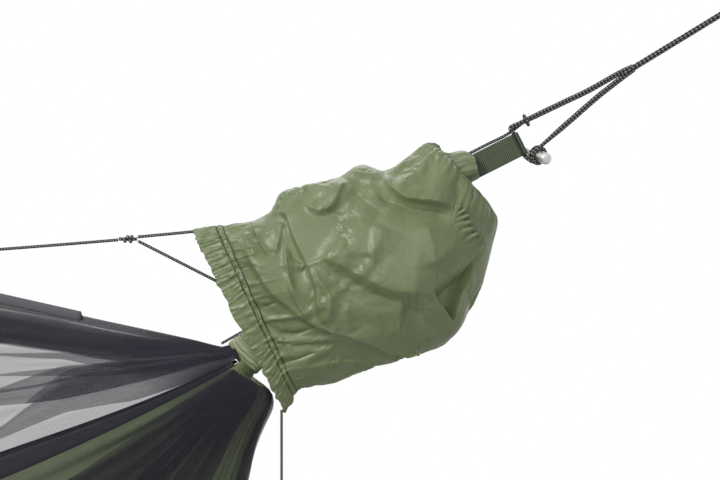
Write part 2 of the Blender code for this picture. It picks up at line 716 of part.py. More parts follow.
def net_top(w):
    """The net's ridge: straight up from the gather, then along under the ridge cord."""
    x = NET_START[0] + (MIDDLE_X - NET_START[0]) * w
    rising = NET_START[2] + NET_SLOPE * (NET_START[0] - x)
    hung = ridge_height(x) - HANGER_DROP
    return np.array([x, 0, -NET_TURN * log(exp(-rising / NET_TURN) + exp(-hung / NET_TURN))])


def net_point(side, w, v):
    """Point of the smooth net; v is 0 at the ridge and 1 at the edge's tape."""
    top = net_top(w) + side * (FABRIC * 0.75 + SEWN_GAP / 2) * Y
    edge = edge_point(side, edge_arc(side)[3] * (1 - w), inset=tape_width(side, w) + SEWN_GAP)
    blend = exp(-w / NET_GATHER)
    out = v * (1 - blend) + sin(v * pi / 2) * blend
    down = v * (1 - blend) + (1 - cos(v * pi / 2)) * blend
    sag = NET_SAG * sin(pi * v) * sin(pi * w / 2)
    return np.array([top[0] + (edge[0] - top[0]) * v, top[1] + (edge[1] - top[1]) * out,
                     top[2] + (edge[2] - top[2]) * down - sag])


def net_panel(name, side):
    """Half of the net, flat beside its tapes and pleated between them."""
    columns = 4 * NET_FOLDS
    rows = []
    for w in stations():
        width = np.linalg.norm(net_point(side, w, 1) - net_point(side, w, 0))
        margin = min(NET_MARGIN / width, 0.25)
        shares = [0] + [margin + (1 - 2 * margin) * j / columns for j in range(columns + 1)] + [1]
        points = np.array([net_point(side, w, v) for v in shares])
        depth = fold_depth(w, NET_FOLD_DEPTH, width - 2 * margin * width, NET_FOLDS)
        onwards = net_point(side, min(w + SHORT_WAY, 1), 0.5) - net_point(side, max(w - SHORT_WAY, 0), 0.5)
        normal = np.cross(np.gradient(points, axis=0), onwards)
        normal /= np.linalg.norm(normal, axis=1, keepdims=True)
        wave = np.array([0] + [sin(2 * pi * NET_FOLDS * j / columns) for j in range(columns + 1)] + [0])
        rows.append(points + normal * (depth * wave)[:, None])
    cloth(name, end_to_end(rows), MESH)


def ridge_tape():
    """Tape folded over the net's ridge seam."""
    rows = []
    for w in stations(RIDGE_TAPE_FROM):
        width = np.linalg.norm(net_point(-1, w, 1) - net_point(-1, w, 0))
        row = []
        for side, reach in ((-1, 1), (-1, 0.5), (0, 0), (1, 0.5), (1, 1)):
            v = reach * RIDGE_TAPE / width
            if side == 0:
                row.append(net_top(w) + RIDGE_TAPE_RISE * Z)
            else:
                out = unit(np.cross(net_point(side, w, v + SHORT_WAY) - net_point(side, w, v), X))
                row.append(net_point(side, w, v) + RIDGE_TAPE_LIFT * (out if out[2] > 0 else -out))
        rows.append(row)
    cloth("net_ridge_tape", end_to_end(rows), TAPE)


def edge_tape(name, side):
    """Flat tape along an edge arc, between the bed and the net."""
    half_angle = edge_arc(side)[3]
    rows = []
    for w in stations():
        angle = half_angle * (1 - w)
        rows.append([edge_point(side, angle, GAP), edge_point(side, angle, tape_width(side, w))])
    cloth(name, end_to_end(rows), TAPE)


def ridge_cord():
    ends = [KNOT_X - KNOT_HALF_LENGTH - GAP, 2 * MIDDLE_X - KNOT_X + KNOT_HALF_LENGTH + GAP]
    route = [(x, 0, ridge_height(x)) for x in np.linspace(*ends, 31)]
    cord("ridge_cord", route, RIDGE)


def ridge_knot(end):
    profile = [(along * KNOT_HALF_LENGTH, thick * KNOT_RADIUS) for along, thick in RIDGE_KNOT_SHAPE]
    turned(f"{end}_ridge_knot", profile, at(end, KNOT), X, BRAID, sides=12, sharp=60)


def oval_loop(centre, half_a, half_b, axis_a, axis_b, count=12):
    turns = [2 * pi * k / count for k in range(count)]
    return [centre + half_a * cos(t) * axis_a + half_b * sin(t) * axis_b for t in turns]


def boxed_loop(centre, half_a, half_b, corner, axis_a, axis_b):
    """Rectangle with round corners."""
    path = []
    for a, b, start in ((1, 1, 0), (-1, 1, pi / 2), (-1, -1, pi), (1, -1, 3 * pi / 2)):
        middle = centre + a * (half_a - corner) * axis_a + b * (half_b - corner) * axis_b
        path += [middle + corner * (cos(start + t) * axis_a + sin(start + t) * axis_b)
                 for t in (0, pi / 6, pi / 3, pi / 2)]
    return path


def upper_leg(end):
    """From the knot to the suspension rope, along the webbing's upper edge."""
    edge = WEBBING / 2 + LOOP_CLEARANCE + RIDGE / 2
    aside = (LEG_ASIDE - WEBBING_LEAN) * Y
    beside = [FOLD + run * WEB_DOWN - (edge + room) * WEB_BELOW + aside for run, room in LEG_OVER_EDGE]
    inside = [MOUTH - run * WEB_DOWN - high * WEB_BELOW for run, high in LEG_IN_SLEEVE]
    route = upper_strand()
    left = np.linalg.norm(route - FOLD, axis=1)
    k = np.argmin(np.abs(left[:np.argmin(left)] - LEG_EYE_AT))
    loop_axis = unit(route[k + 1] - route[k - 1])
    reach = LEG / 2 + LOOP_CLEARANCE + RIDGE / 2
    loop = oval_loop(route[k], reach, reach, Y, np.cross(loop_axis, Y))
    start = KNOT + (KNOT_HALF_LENGTH + 2 * GAP) * X + LEGS_APART * Z
    waypoints = [start] + (inside if end == "near" else []) + beside + [route[k] + reach * Y]
    leg = strand(f"{end}_ridge_upper_leg", at(end, smooth_route(waypoints, 6 * RIDGE)), RIDGE, Y, sides=6)
    eye = strand(f"{end}_upper_leg_eye", at(end, loop), RIDGE, mirrored(end, loop_axis), sides=6,
                 closed=True)
    joined(f"{end}_ridge_upper_leg", leg, eye)


def webbing_tie(name, end, source, run_from_turn, thick):
    """A cord from source that ends in a loop round both layers of the webbing."""
    middle, side, spread = webbing_station(WEBBING_STRAIGHT + WEBBING_RUN - run_from_turn)
    room = LOOP_CLEARANCE + thick / 2
    half_a, half_b = WEBBING / 2 + room, spread + WEBBING_THICK / 2 + room + LAYERS_SLOPE
    loop = boxed_loop(middle, half_a, half_b, room, side, Y)
    meet = middle - half_a * side
    route = smooth_route([source, meet], 10 * thick)
    leg = strand(name, at(end, route), thick, Y, sides=6)
    eye = strand(f"{name}_eye", at(end, loop), thick, mirrored(end, FALL_DOWN), sides=6, closed=True)
    joined(name, leg, eye)


def hanging_loops():
    """Small loops that hang the net's ridge tape from the ridge cord."""
    for k in range(HANGERS):
        x = MIDDLE_X + (k - (HANGERS - 1) / 2) * HANGER_SPACING
        high = ridge_height(x) + RIDGE / 2 + 2 * GAP + HANGER_CORD / 2
        low = ridge_height(x) - HANGER_DROP + RIDGE_TAPE_RISE + FABRIC / 2 + 3 * GAP + HANGER_CORD / 2
        centre = np.array([x, 0, (high + low) / 2])
        path = oval_loop(centre, (high - low) / 2, HANGER_HALF_WIDTH, Z, Y, 10)
        strand(f"hanging_loop_{k + 1}", path, HANGER_CORD, X, sides=6, closed=True)


# Entry zip on the front edge

def zip_frame(angle):
    """A point of the zip's line on the tape's outer face, with its three directions."""
    down = edge_arc(-1)[2]
    along = cos(angle) * X - sin(angle) * down
    inward = -(sin(angle) * X + cos(angle) * down)
    out = unit(np.cross(along, inward))
    if out[2] < 0:
        out = -out
    point = edge_point(-1, angle, FRONT_TAPE / 2) + (FABRIC / 2 + GAP) * out
    return point, along, inward, out


def arc_sweep(name, profile, first, last, steps, finish, **how):
    """A profile of (inward, outward) points carried along the zip's arc."""
    rings = []
    for angle in np.linspace(first, last, steps + 1):
        point, _, inward, out = zip_frame(angle)
        rings.append([point + a * inward + b * out for a, b in profile])
    return loft(name, rings, finish, **how)


def bead(half, height, points=6):
    turns = [pi * k / points for k in range(points + 1)]
    return [(half * cos(a), height * sin(a)) for a in turns]


def entry_zip():
    """Coil, end stops, slider with its pull's pin, and the pull."""
    radius = edge_arc(-1)[1] - FRONT_TAPE / 2
    arc_sweep("zip_coil", bead(COIL / 2, COIL_HEIGHT), -ZIP_HALF_ANGLE, ZIP_HALF_ANGLE, 28, ZIP_NYLON)
    stop = bead(COIL / 2 + STOP_WIDER, COIL_HEIGHT + STOP_HIGHER)
    stop_starts = ZIP_HALF_ANGLE + GAP / radius
    stop_ends = stop_starts + STOP_LENGTH / radius
    arc_sweep("near_zip_stop", stop, stop_starts, stop_ends, 1, STEEL)
    arc_sweep("far_zip_stop", stop, -stop_ends, -stop_starts, 1, STEEL)
    inside, top = COIL / 2 + SLIDER_CLEARANCE, COIL_HEIGHT + SLIDER_CLEARANCE
    outside, crown = inside + SLIDER_WALL, top + SLIDER_WALL
    channel = [(-outside, GAP), (-inside, GAP), (-inside, top), (inside, top), (inside, GAP), (outside, GAP),
               (outside, crown), (-outside, crown)]
    half = SLIDER_LENGTH / 2 / radius
    rest = ZIP_HALF_ANGLE - half - STOP_ROOM / radius
    body = arc_sweep("zip_slider", channel, rest - half, rest + half, 2, STEEL)
    point, along, inward, out = zip_frame(rest)
    ear_inside = PULL_WIDTH / 2 + PULL_CLEARANCE
    pin_height = crown + EAR_HEIGHT - PULL_PIN
    pieces = []
    for hand in (-1, 1):
        near_side, far_side = hand * ear_inside, hand * (ear_inside + EAR_THICK)
        turns = [pi * k / 6 for k in range(7)]
        ring = [(EAR_HALF_LENGTH * cos(a), pin_height + EAR_OVER_PIN * sin(a)) for a in turns]
        ring += [(-EAR_HALF_LENGTH, crown - EAR_ROOT), (EAR_HALF_LENGTH, crown - EAR_ROOT)]
        rings = [[point + a * along + b * out + c * inward for a, b in ring] for c in (near_side, far_side)]
        pieces.append(loft(f"slider_ear_{'low' if hand < 0 else 'high'}", rings, STEEL))
    reach = ear_inside + EAR_THICK / 2
    pin_centre = point + pin_height * out
    pin = [(-reach, PULL_PIN / 2), (reach, PULL_PIN / 2)]
    pieces.append(turned("slider_pin", pin, pin_centre, inward, STEEL))
    joined("zip_slider", body, *pieces)
    zip_pull(pin_centre, along, inward, out)


def zip_pull(pin_centre, along, inward, out):
    """A tab whose eye turns on the slider's pin."""
    bore = PULL_PIN / 2 + PULL_CLEARANCE
    outer = bore + PULL_WALL
    half = PULL_WIDTH / 2
    reaches = [cos(2 * pi * k / 20) * along + sin(2 * pi * k / 20) * out for k in range(20)]
    rings = []
    for radius, across in ((bore, -half), (outer, -half), (outer, half), (bore, half)):
        rings.append([pin_centre + radius * reach + across * inward for reach in reaches])
    eye = loft("zip_pull", rings, TAPE, closed=True, origin=pin_centre)
    start, rounding = bore + PULL_WALL / 2, PULL_LENGTH - half
    turns = [pi * k / 6 for k in range(7)]
    outline = [(start, -half)] + [(rounding + half * sin(a), -half * cos(a)) for a in turns] + [(start, half)]
    rings = [[pin_centre - a * along + b * inward + c * out for a, b in outline]
             for c in (-PULL_DROP, PULL_WALL - PULL_DROP)]
    tab = loft("zip_pull_tab", rings, TAPE)
    joined("zip_pull", eye, tab)


# Stow sleeve

def along_table(table, share):
    """Smooth value between a table's points."""
    marks = [m for m, _ in table]
    values = [v for _, v in table]
    slopes = np.gradient(values, marks)
    k = min(max(np.searchsorted(marks, share, side="right") - 1, 0), len(marks) - 2)
    width = marks[k + 1] - marks[k]
    t = (share - marks[k]) / width
    return ((2 * t ** 3 - 3 * t ** 2 + 1) * values[k] + (t ** 3 - 2 * t ** 2 + t) * width * slopes[k]
            + (-2 * t ** 3 + 3 * t ** 2) * values[k + 1] + (t ** 3 - t ** 2) * width * slopes[k + 1])


def sleeve_ring(run, inset=0.0, sides=20):
    """Oval section of the sleeve at a run from its mouth, its wall moved in by inset."""
    share = run / SLEEVE_LENGTH
    top, bottom = along_table(SLEEVE_TOP, share), along_table(SLEEVE_BOTTOM, share)
    depth = along_table(SLEEVE_DEPTH, share) - inset
    centre = MOUTH - run * WEB_DOWN + (bottom - top) / 2 * WEB_BELOW
    half = (bottom + top) / 2 - inset
    turns = [2 * pi * (k + 0.5) / sides for k in range(sides)]
    return [centre + half * cos(a) * WEB_BELOW + depth * sin(a) * Y for a in turns]


def sleeve_tube(name, first, last, count, wall):
    runs = np.linspace(first, last, count)
    shell(name, [sleeve_ring(run) for run in runs], [sleeve_ring(run, wall) for run in runs], NYLON)


def stow_sleeve():
    neck = SLEEVE_LENGTH - NECK_HEM
    sleeve_tube("sleeve_mouth_hem", 0, MOUTH_HEM, 3, HEM_WALL)
    sleeve_tube("stow_sleeve", MOUTH_HEM + GAP, neck - GAP, 14, SLEEVE_WALL)
    sleeve_tube("sleeve_neck_hem", neck, SLEEVE_LENGTH, 3, SLEEVE_WALL)


def tail_cord():
    """Cord that hangs from the mouth's lower corner and ends in a knot."""
    across, forward = TAIL_AT
    start = MOUTH + (TAIL_CORD / 2 / cos(WEBBING_TILT) + GAP) * WEB_DOWN + across * WEB_BELOW + forward * Y
    route = smooth_route([start - 0.25 * k * (TAIL_LENGTH - TAIL_KNOT) * Z for k in range(5)], 3 * TAIL_CORD)
    cord("sleeve_tail_cord", route, TAIL_CORD)
    profile = [(along * TAIL_KNOT, thick * TAIL_KNOT) for along, thick in TAIL_KNOT_SHAPE]
    knot = start - (TAIL_LENGTH - TAIL_KNOT + GAP + profile[-1][0]) * Z
    turned("sleeve_tail_knot", profile, knot, Z, BRAID, sides=12, sharp=60)


for old in list(bpy.data.objects):
    bpy.data.objects.remove(old, do_unlink=True)

for end in ENDS:
    anchor_ring(end)
    suspension_rope(end)
    toggle(end)
    webbing_loop(end)
    end_channel(end)
    ridge_knot(end)
    upper_leg(end)
    webbing_tie(f"{end}_ridge_lower_leg", end, KNOT + (KNOT_HALF_LENGTH + 4 * GAP) * X - LEGS_APART * Z,
                LOWER_LEG_AT, RIDGE)
    webbing_tie(f"{end}_net_tie", end, NET_START + NET_TIE_LIFT * Z, NET_TIE_AT, NET_TIE)

bed_panel("bed_front_panel", 0, SIDE_PANEL)
bed_panel("bed_centre_panel", SIDE_PANEL, pi - SIDE_PANEL)
bed_panel("bed_back_panel", pi - SIDE_PANEL, pi)
net_panel("net_front_panel", -1)
net_panel("net_back_panel", 1)
ridge_tape()
edge_tape("front_zip_tape", -1)
edge_tape("back_edge_tape", 1)
ridge_cord()
hanging_loops()
entry_zip()
stow_sleeve()
tail_cord()
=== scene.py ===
from math import asin, cos, exp, log, pi, radians, sin, tan

import bmesh
import bpy
import numpy as np
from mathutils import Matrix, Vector, noise


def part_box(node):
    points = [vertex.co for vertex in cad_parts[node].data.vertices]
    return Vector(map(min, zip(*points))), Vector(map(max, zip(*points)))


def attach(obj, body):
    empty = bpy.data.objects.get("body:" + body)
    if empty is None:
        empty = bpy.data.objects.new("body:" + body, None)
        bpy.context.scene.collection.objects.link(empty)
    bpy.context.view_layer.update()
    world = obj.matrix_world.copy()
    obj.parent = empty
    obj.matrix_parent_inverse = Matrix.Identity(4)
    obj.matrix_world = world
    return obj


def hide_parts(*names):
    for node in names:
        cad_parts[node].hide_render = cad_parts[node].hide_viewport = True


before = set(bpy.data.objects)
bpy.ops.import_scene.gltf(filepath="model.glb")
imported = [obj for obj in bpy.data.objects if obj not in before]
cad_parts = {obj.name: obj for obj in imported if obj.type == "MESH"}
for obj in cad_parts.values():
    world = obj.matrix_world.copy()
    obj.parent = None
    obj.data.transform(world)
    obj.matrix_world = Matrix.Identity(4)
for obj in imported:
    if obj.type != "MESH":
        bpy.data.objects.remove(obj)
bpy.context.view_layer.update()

# Studio: the hammock hangs in front of white paper, seen square from its side at the height of
# its stow sleeve. Broad soft lamps stand above and to the left, and the paper fills the rest.
CAMERA_AT = np.array([-0.4732, -1.768, -0.2943])
PIXEL = 0.00104             # one of the picture's 720 columns, in metres where the hammock hangs


def linear(code):
    """A hex colour as linear red, green, blue and alpha."""
    channels = [int(code[i:i + 2], 16) / 255 for i in (0, 2, 4)]
    return [c / 12.92 if c <= 0.04045 else ((c + 0.055) / 1.055) ** 2.4 for c in channels] + [1]


def add(tree, kind, sockets=None, **settings):
    """Adds a node; each socket is given a value, a node, or a node with its output's name."""
    made = tree.nodes.new("ShaderNode" + kind)
    for key, value in settings.items():
        setattr(made, key, value)
    for socket, value in (sockets or {}).items():
        if isinstance(value, bpy.types.Node):
            tree.links.new(value.outputs[0], made.inputs[socket])
        elif isinstance(value, tuple) and isinstance(value[0], bpy.types.Node):
            tree.links.new(value[0].outputs[value[1]], made.inputs[socket])
        else:
            made.inputs[socket].default_value = value
    return made


def seen(column, row, forward=0.0):
    """The point that the camera sees at a place in its 720 by 480 picture, forward of the hammock's middle plane."""
    scale = PIXEL * (1 + forward / CAMERA_AT[1])
    return np.array([CAMERA_AT[0] + (column - 360) * scale, -forward, CAMERA_AT[2] + (240 - row) * scale])


scene = bpy.context.scene
scene.view_settings.view_transform = "Standard"
scene.cycles.transparent_max_bounces = 48
camera = bpy.data.objects.new("camera", bpy.data.cameras.new("camera"))
camera.location, camera.rotation_euler = CAMERA_AT, (pi / 2, 0, 0)
camera.data.lens, camera.data.sensor_width = 85, 36
scene.collection.objects.link(camera)
scene.camera = camera

world = bpy.data.worlds.new("paper_all_round")
scene.world = world
world.use_nodes = True
paper = world.node_tree
for node in list(paper.nodes):
    paper.nodes.remove(node)
path = add(paper, "LightPath")
shown = add(paper, "Math", {0: (path, "Is Camera Ray"), 1: (path, "Is Glossy Ray")}, operation="MAXIMUM")
shown = add(paper, "Math", {0: shown, 1: (path, "Is Transmission Ray")}, operation="MAXIMUM")
dim = add(paper, "Background", {"Color": linear("f4f6fa"), "Strength": 0.26})
white = add(paper, "Background", {"Color": (1, 1, 1, 1), "Strength": 1.0})
mixed = add(paper, "MixShader", {0: shown, 1: dim, 2: white})
add(paper, "OutputWorld", {"Surface": mixed})

for name, place, size, watts in (("lamp_left", (-1.9, -1.3, 1.0), 0.6, 29),
                                 ("lamp_front", (-0.2, -2.6, 0.9), 1.4, 14),
                                 ("lamp_back", (-0.6, 1.4, 1.6), 1.4, 16)):
    lamp = bpy.data.objects.new(name, bpy.data.lights.new(name, "AREA"))
    lamp.data.size, lamp.data.energy = size, watts
    lamp.location = place
    lamp.rotation_euler = (Vector((-0.5, 0, -0.35)) - lamp.location).to_track_quat("-Z", "Y").to_euler()
    scene.collection.objects.link(lamp)

floor_mesh = bpy.data.meshes.new("paper_floor")
floor_mesh.from_pydata([(-5.2, -2.6, -1.4), (1.7, -2.6, -1.4), (1.7, 2.6, -1.4), (-5.2, 2.6, -1.4)], [], [(0, 1, 2, 3)])
floor = bpy.data.objects.new("paper_floor", floor_mesh)
scene.collection.objects.link(floor)
matt_paper = bpy.data.materials.new("matt_paper")
matt_paper.use_nodes = True
sheet_shader = matt_paper.node_tree.nodes["Principled BSDF"]
sheet_shader.inputs["Base Color"].default_value = linear("f2f2f0")
sheet_shader.inputs["Roughness"].default_value = 0.9
floor_mesh.materials.append(matt_paper)

# Tail cord of the stow sleeve: 3 mm plaited polyester with light flecks, which hangs from the
# mouth's lower corner and ends in an overhand knot. The same plait makes the ropes further on.
MIDDLE_X = -1.748652        # the far end is the near end's mirror image about this plane
TAIL_CORD = 0.0028
X, Y, Z = np.eye(3)


def unit(v):
    v = np.asarray(v, float)
    return v / np.linalg.norm(v)


def smooth_through(points, spacing):
    """Evenly spaced points on a smooth curve through the given ones."""
    points = [np.asarray(p, float) for p in points]
    ends = [2 * points[0] - points[1]] + points + [2 * points[-1] - points[-2]]
    fine = []
    for before, a, b, after in zip(ends, ends[1:], ends[2:], ends[3:]):
        for t in np.linspace(0, 1, 24, endpoint=False):
            fine.append(0.5 * (2 * a + (b - before) * t + (2 * before - 5 * a + 4 * b - after) * t ** 2
                               + (3 * a - before - 3 * b + after) * t ** 3))
    fine = np.array(fine + [points[-1]])
    run = np.concatenate([[0], np.cumsum(np.linalg.norm(np.diff(fine, axis=0), axis=1))])
    marks = np.linspace(0, run[-1], max(3, int(round(run[-1] / spacing)) + 1))
    return np.column_stack([np.interp(marks, run, fine[:, axis]) for axis in range(3)])


def plait(a, b):
    """Height of a plaited cord's surface: strands of two hands pass over and under each other."""
    over = (np.floor(a) + np.floor(b)) % 2 < 1
    across, along = np.where(over, a % 1, b % 1), np.where(over, b % 1, a % 1)
    return np.sin(pi * across) ** 0.6 * (0.5 + 0.5 * np.sin(pi * along))


def frames(route):
    """A route's tangents and two directions square to them that don't twist."""
    tangents = np.gradient(route, axis=0)
    tangents /= np.linalg.norm(tangents, axis=1, keepdims=True)
    side = unit(np.cross(tangents[0], Y if abs(tangents[0][1]) < 0.8 else X))
    sides = []
    for tangent in tangents:
        side = unit(side - np.dot(side, tangent) * tangent)
        sides.append(side)
    sides = np.array(sides)
    return tangents, sides, np.cross(tangents, sides)


def plaited(route, diameters, carriers=4, depth=0.16, sides=None):
    """A plaited cord along a route, with the strands' numbers as its two pattern coordinates."""
    route = np.asarray(route, float)
    diameters = np.broadcast_to(diameters, len(route)).astype(float)
    sides = sides or 4 * carriers
    pitch = pi * diameters.max() / carriers * 1.15
    run = np.concatenate([[0], np.cumsum(np.linalg.norm(np.diff(route, axis=0), axis=1))])
    turn = np.arange(sides + 1) / sides
    a = carriers * turn[None] + run[:, None] / pitch
    b = carriers * turn[None] - run[:, None] / pitch
    height = plait(a[:, :-1], b[:, :-1])
    _, side, high = frames(route)
    radius = diameters[:, None] / 2 * (1 - depth + depth * height)
    angle = 2 * pi * turn[None, :-1, None]
    rows = route[:, None] + radius[..., None] * (np.cos(angle) * side[:, None] + np.sin(angle) * high[:, None])
    return rows, np.stack([a, b], -1), True, True


def make(name, patches, finish, body, end="near", replaces=(), slot=None, solidify=0.0, sharp=None):
    """One piece of the object from patches: rows of points, pattern coordinates, whether the rows close, whether they're capped."""
    points, faces, corners, start = [], [], [], 0
    for rows, uv, wrap, capped in patches:
        n, m = rows.shape[:2]
        i, j = (v.ravel() for v in np.meshgrid(np.arange(n - 1), np.arange(m if wrap else m - 1), indexing="ij"))
        k = (j + 1) % m
        faces += (start + np.stack([i * m + j, i * m + k, (i + 1) * m + k, (i + 1) * m + j], -1)).tolist()
        corners.append(np.stack([uv[i, j], uv[i, j + 1], uv[i + 1, j + 1], uv[i + 1, j]], 1).reshape(-1, 2))
        if capped:
            faces += [list(range(start, start + m))[::-1], list(range(start + (n - 1) * m, start + n * m))]
            corners += [uv[0, :m][::-1], uv[-1, :m]]
        points.append(rows.reshape(-1, 3))
        start += n * m
    points, corners = np.concatenate(points), np.concatenate(corners)
    if end == "far":
        points = points * (-1, 1, 1) + (2 * MIDDLE_X, 0, 0)
    mesh = bpy.data.meshes.new(name)
    mesh.from_pydata(points.tolist(), [], faces)
    mesh.uv_layers.new(name="pattern").data.foreach_set("uv", corners.ravel().astype(np.float32))
    work = bmesh.new()
    work.from_mesh(mesh)
    bmesh.ops.recalc_face_normals(work, faces=work.faces)
    work.to_mesh(mesh)
    work.free()
    mesh.shade_smooth()
    if sharp:
        mesh.set_sharp_from_angle(angle=radians(sharp))
    mesh.materials.append(finish)
    made = bpy.data.objects.new(name, mesh)
    scene.collection.objects.link(made)
    if solidify:
        wall = made.modifiers.new("cloth", "SOLIDIFY")
        wall.thickness, wall.offset = solidify, 0
    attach(made, body)
    if replaces:
        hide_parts(*replaces)
    return made


def finish_named(name, **settings):
    """A material with a plain Principled surface, and its node tree."""
    made = bpy.data.materials.new(name)
    made.use_nodes = True
    shader = made.node_tree.nodes["Principled BSDF"]
    for socket, value in settings.items():
        shader.inputs[socket.replace("_", " ")].default_value = value
    return made, made.node_tree, shader


# Plaited polyester: matt yarn, dark with a light tracer in one hand of the strands; painted shade darkens the grooves
# between strands.
polyester, tree, shader = finish_named("plaited_polyester", Roughness=0.78, Specular_IOR_Level=0.35)
strands = add(tree, "SeparateXYZ", {0: (add(tree, "TexCoord"), "UV")})
over = add(tree, "Math", {0: add(tree, "Math", {0: (strands, "X")}, operation="FLOOR"),
                          1: add(tree, "Math", {0: (strands, "Y")}, operation="FLOOR")}, operation="ADD")
over = add(tree, "Math", {0: over, 1: 2.0}, operation="FLOORED_MODULO")
crown = add(tree, "Math", {0: add(tree, "Math", {0: (strands, "X"), 1: 0.5}, operation="PINGPONG"),
                           1: add(tree, "Math", {0: (strands, "Y"), 1: 0.5}, operation="PINGPONG")},
            operation="MINIMUM")
fleck = add(tree, "Math", {0: over, 1: add(tree, "MapRange", {0: crown, 1: 0.08, 2: 0.26})}, operation="MULTIPLY")
yarn = add(tree, "TexNoise", {"Scale": 1400.0, "Detail": 2.0})
fleck = add(tree, "Math", {0: fleck, 1: add(tree, "MapRange", {0: yarn, 1: 0.30, 2: 0.62, 3: 0.25, 4: 1.0})},
            operation="MULTIPLY")
# painted shade: the colour darkens towards each strand's edge, in the grooves between the strands
groove_shade = add(tree, "MapRange", {0: crown, 1: 0.0, 2: 0.2, 3: 0.35, 4: 1.0})
dark = add(tree, "Mix", {0: groove_shade, 6: linear("101010"), 7: linear("2b2b2a")}, data_type="RGBA")
colour = add(tree, "Mix", {0: fleck, 6: (dark, 2), 7: linear("c9cac4")}, data_type="RGBA")
tree.links.new(colour.outputs[2], shader.inputs["Base Color"])
bump = add(tree, "Bump", {"Strength": 0.4, "Distance": 0.0003, "Height": yarn})
tree.links.new(bump.outputs[0], shader.inputs["Normal"])

WEB_DOWN = np.array([-cos(radians(26.8)), 0, -sin(radians(26.8))])
WEB_BELOW = np.array([sin(radians(26.8)), 0, -cos(radians(26.8))])
low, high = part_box("sleeve_tail_cord")
tail_top = np.array([(low.x + high.x) / 2, (low.y + high.y) / 2, high.z])
tail_route = [tail_top - Z * drop for drop in np.linspace(0, high.z - low.z, 200)]
tail_cord = make("sleeve_tail_cord_plait", [plaited(tail_route, TAIL_CORD)], polyester, "sleeve",
                 replaces=["sleeve_tail_cord"], slot="black_braid")


def overhand(centre, axis, side, size, count=80):
    """Route of a tight overhand knot about a centre."""
    across = np.cross(axis, side)
    route = []
    for t in np.linspace(-0.10, 1.10, count):
        angle = 2 * pi * t
        x, y, z = sin(angle) + 2 * sin(2 * angle), cos(angle) - 2 * cos(2 * angle), -sin(3 * angle)
        route.append(centre + size * (0.30 * x * side + 0.30 * y * axis + 0.42 * z * across))
    return route


low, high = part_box("sleeve_tail_knot")
knot_middle = np.array([(low.x + high.x) / 2, (low.y + high.y) / 2, (low.z + high.z) / 2])
tail_knot = make("sleeve_tail_knot_plait", [plaited(overhand(knot_middle, Z, X, 0.0038), TAIL_CORD)], polyester,
                 "sleeve", replaces=["sleeve_tail_knot"], slot="black_braid")

# Anchor rings: a 40 mm ring of round steel wire at each end, welded and polished. Whatever the
# hammock is hung from holds the ring.
RING_RADIUS, RING_WIRE = 0.020, 0.005
steel, tree, shader = finish_named("polished_steel", Metallic=1.0, Roughness=0.22)
smears = add(tree, "TexNoise", {"Scale": 160.0, "Detail": 4.0})
tone = add(tree, "Mix", {0: smears, 6: linear("a9aaab"), 7: linear("c9c8c5")}, data_type="RGBA")
tree.links.new(tone.outputs[2], shader.inputs["Base Color"])
tree.links.new(add(tree, "MapRange", {0: smears, 3: 0.16, 4: 0.34}).outputs[0], shader.inputs["Roughness"])


def plain_tube(route, diameters, sides=16):
    """A smooth round bar along a route."""
    rows, uv, wrap, capped = plaited(route, diameters, depth=0, sides=sides)
    return rows, uv, wrap, capped


def round_trip(centre, radius, a, b, count, extra=0.02, half_b=None):
    """A loop about a centre that runs a little past its start."""
    return [centre + radius * cos(t) * a + (half_b or radius) * sin(t) * b
            for t in np.linspace(0, 2 * pi * (1 + extra), count)]


for end in ("near", "far"):
    make(f"{end}_anchor_ring_bar", [plain_tube(round_trip(np.zeros(3), RING_RADIUS, X, Z, 90, 0), RING_WIRE, 20)],
         steel, "anchors", end, replaces=[f"{end}_anchor_ring"], slot="polished_steel")

# Suspension ropes: 6.5 mm plaited cord, spliced into an eye round the anchor ring and split into
# two legs at the hammock. The upper leg goes through the webbing's fold and turns round the toggle.
ROPE, LEG, STRAND, EYE_STRAND = 0.0065, 0.0062, 0.0048, 0.0038
ROPE_TILT, EYE_TILT = radians(31.4), radians(33.9)
ROPE_RUN, ANCHOR_EYE, EYE_RUN = 0.2315, 0.064, 0.1332
TOGGLE, TOGGLE_LENGTH = 0.012, 0.044
TOGGLE_AXIS = unit((0.497, -0.819, -0.287))
WEBBING, WEBBING_THICK, WEBBING_LEAN = 0.025, 0.0015, 0.004
ROPE_DOWN = np.array([-cos(ROPE_TILT), 0, -sin(ROPE_TILT)])
ROPE_BELOW = np.array([sin(ROPE_TILT), 0, -cos(ROPE_TILT)])
EYE_DOWN = np.array([-cos(EYE_TILT), 0, -sin(EYE_TILT)])
THROAT = ROPE_RUN * ROPE_DOWN
FOLD = THROAT + EYE_RUN * EYE_DOWN
FOLD_RADIUS = STRAND / 2 + 0.0004 + WEBBING_THICK / 2
PIN = FOLD - (FOLD_RADIUS + WEBBING_THICK / 2 + TOGGLE / 2) * WEB_DOWN + (WEBBING / 2 + 0.004) * WEB_BELOW
PIN = PIN - WEBBING_LEAN / 2 * Y
PIN_SIDE = unit(np.cross(TOGGLE_AXIS, Y))
PIN_HIGH = np.cross(TOGGLE_AXIS, PIN_SIDE)
WRAPS = (0.0032, 0.0074)
ON_PIN = TOGGLE / 2 + 0.0004 + EYE_STRAND / 2


def on_pin(offset, reach):
    """The point of a wrap that lies furthest in a direction from the toggle."""
    return PIN + offset * TOGGLE_AXIS + ON_PIN * unit(reach - np.dot(reach, TOGGLE_AXIS) * TOGGLE_AXIS)


def tapered(route, thick, thin, middle, near, far):
    """Diameters along a route: thin within near of a point, thick beyond far."""
    left = np.linalg.norm(np.asarray(route) - middle, axis=1)
    share = np.clip((left - near) / (far - near), 0, 1)
    return thin + (thick - thin) * share ** 2 * (3 - 2 * share)


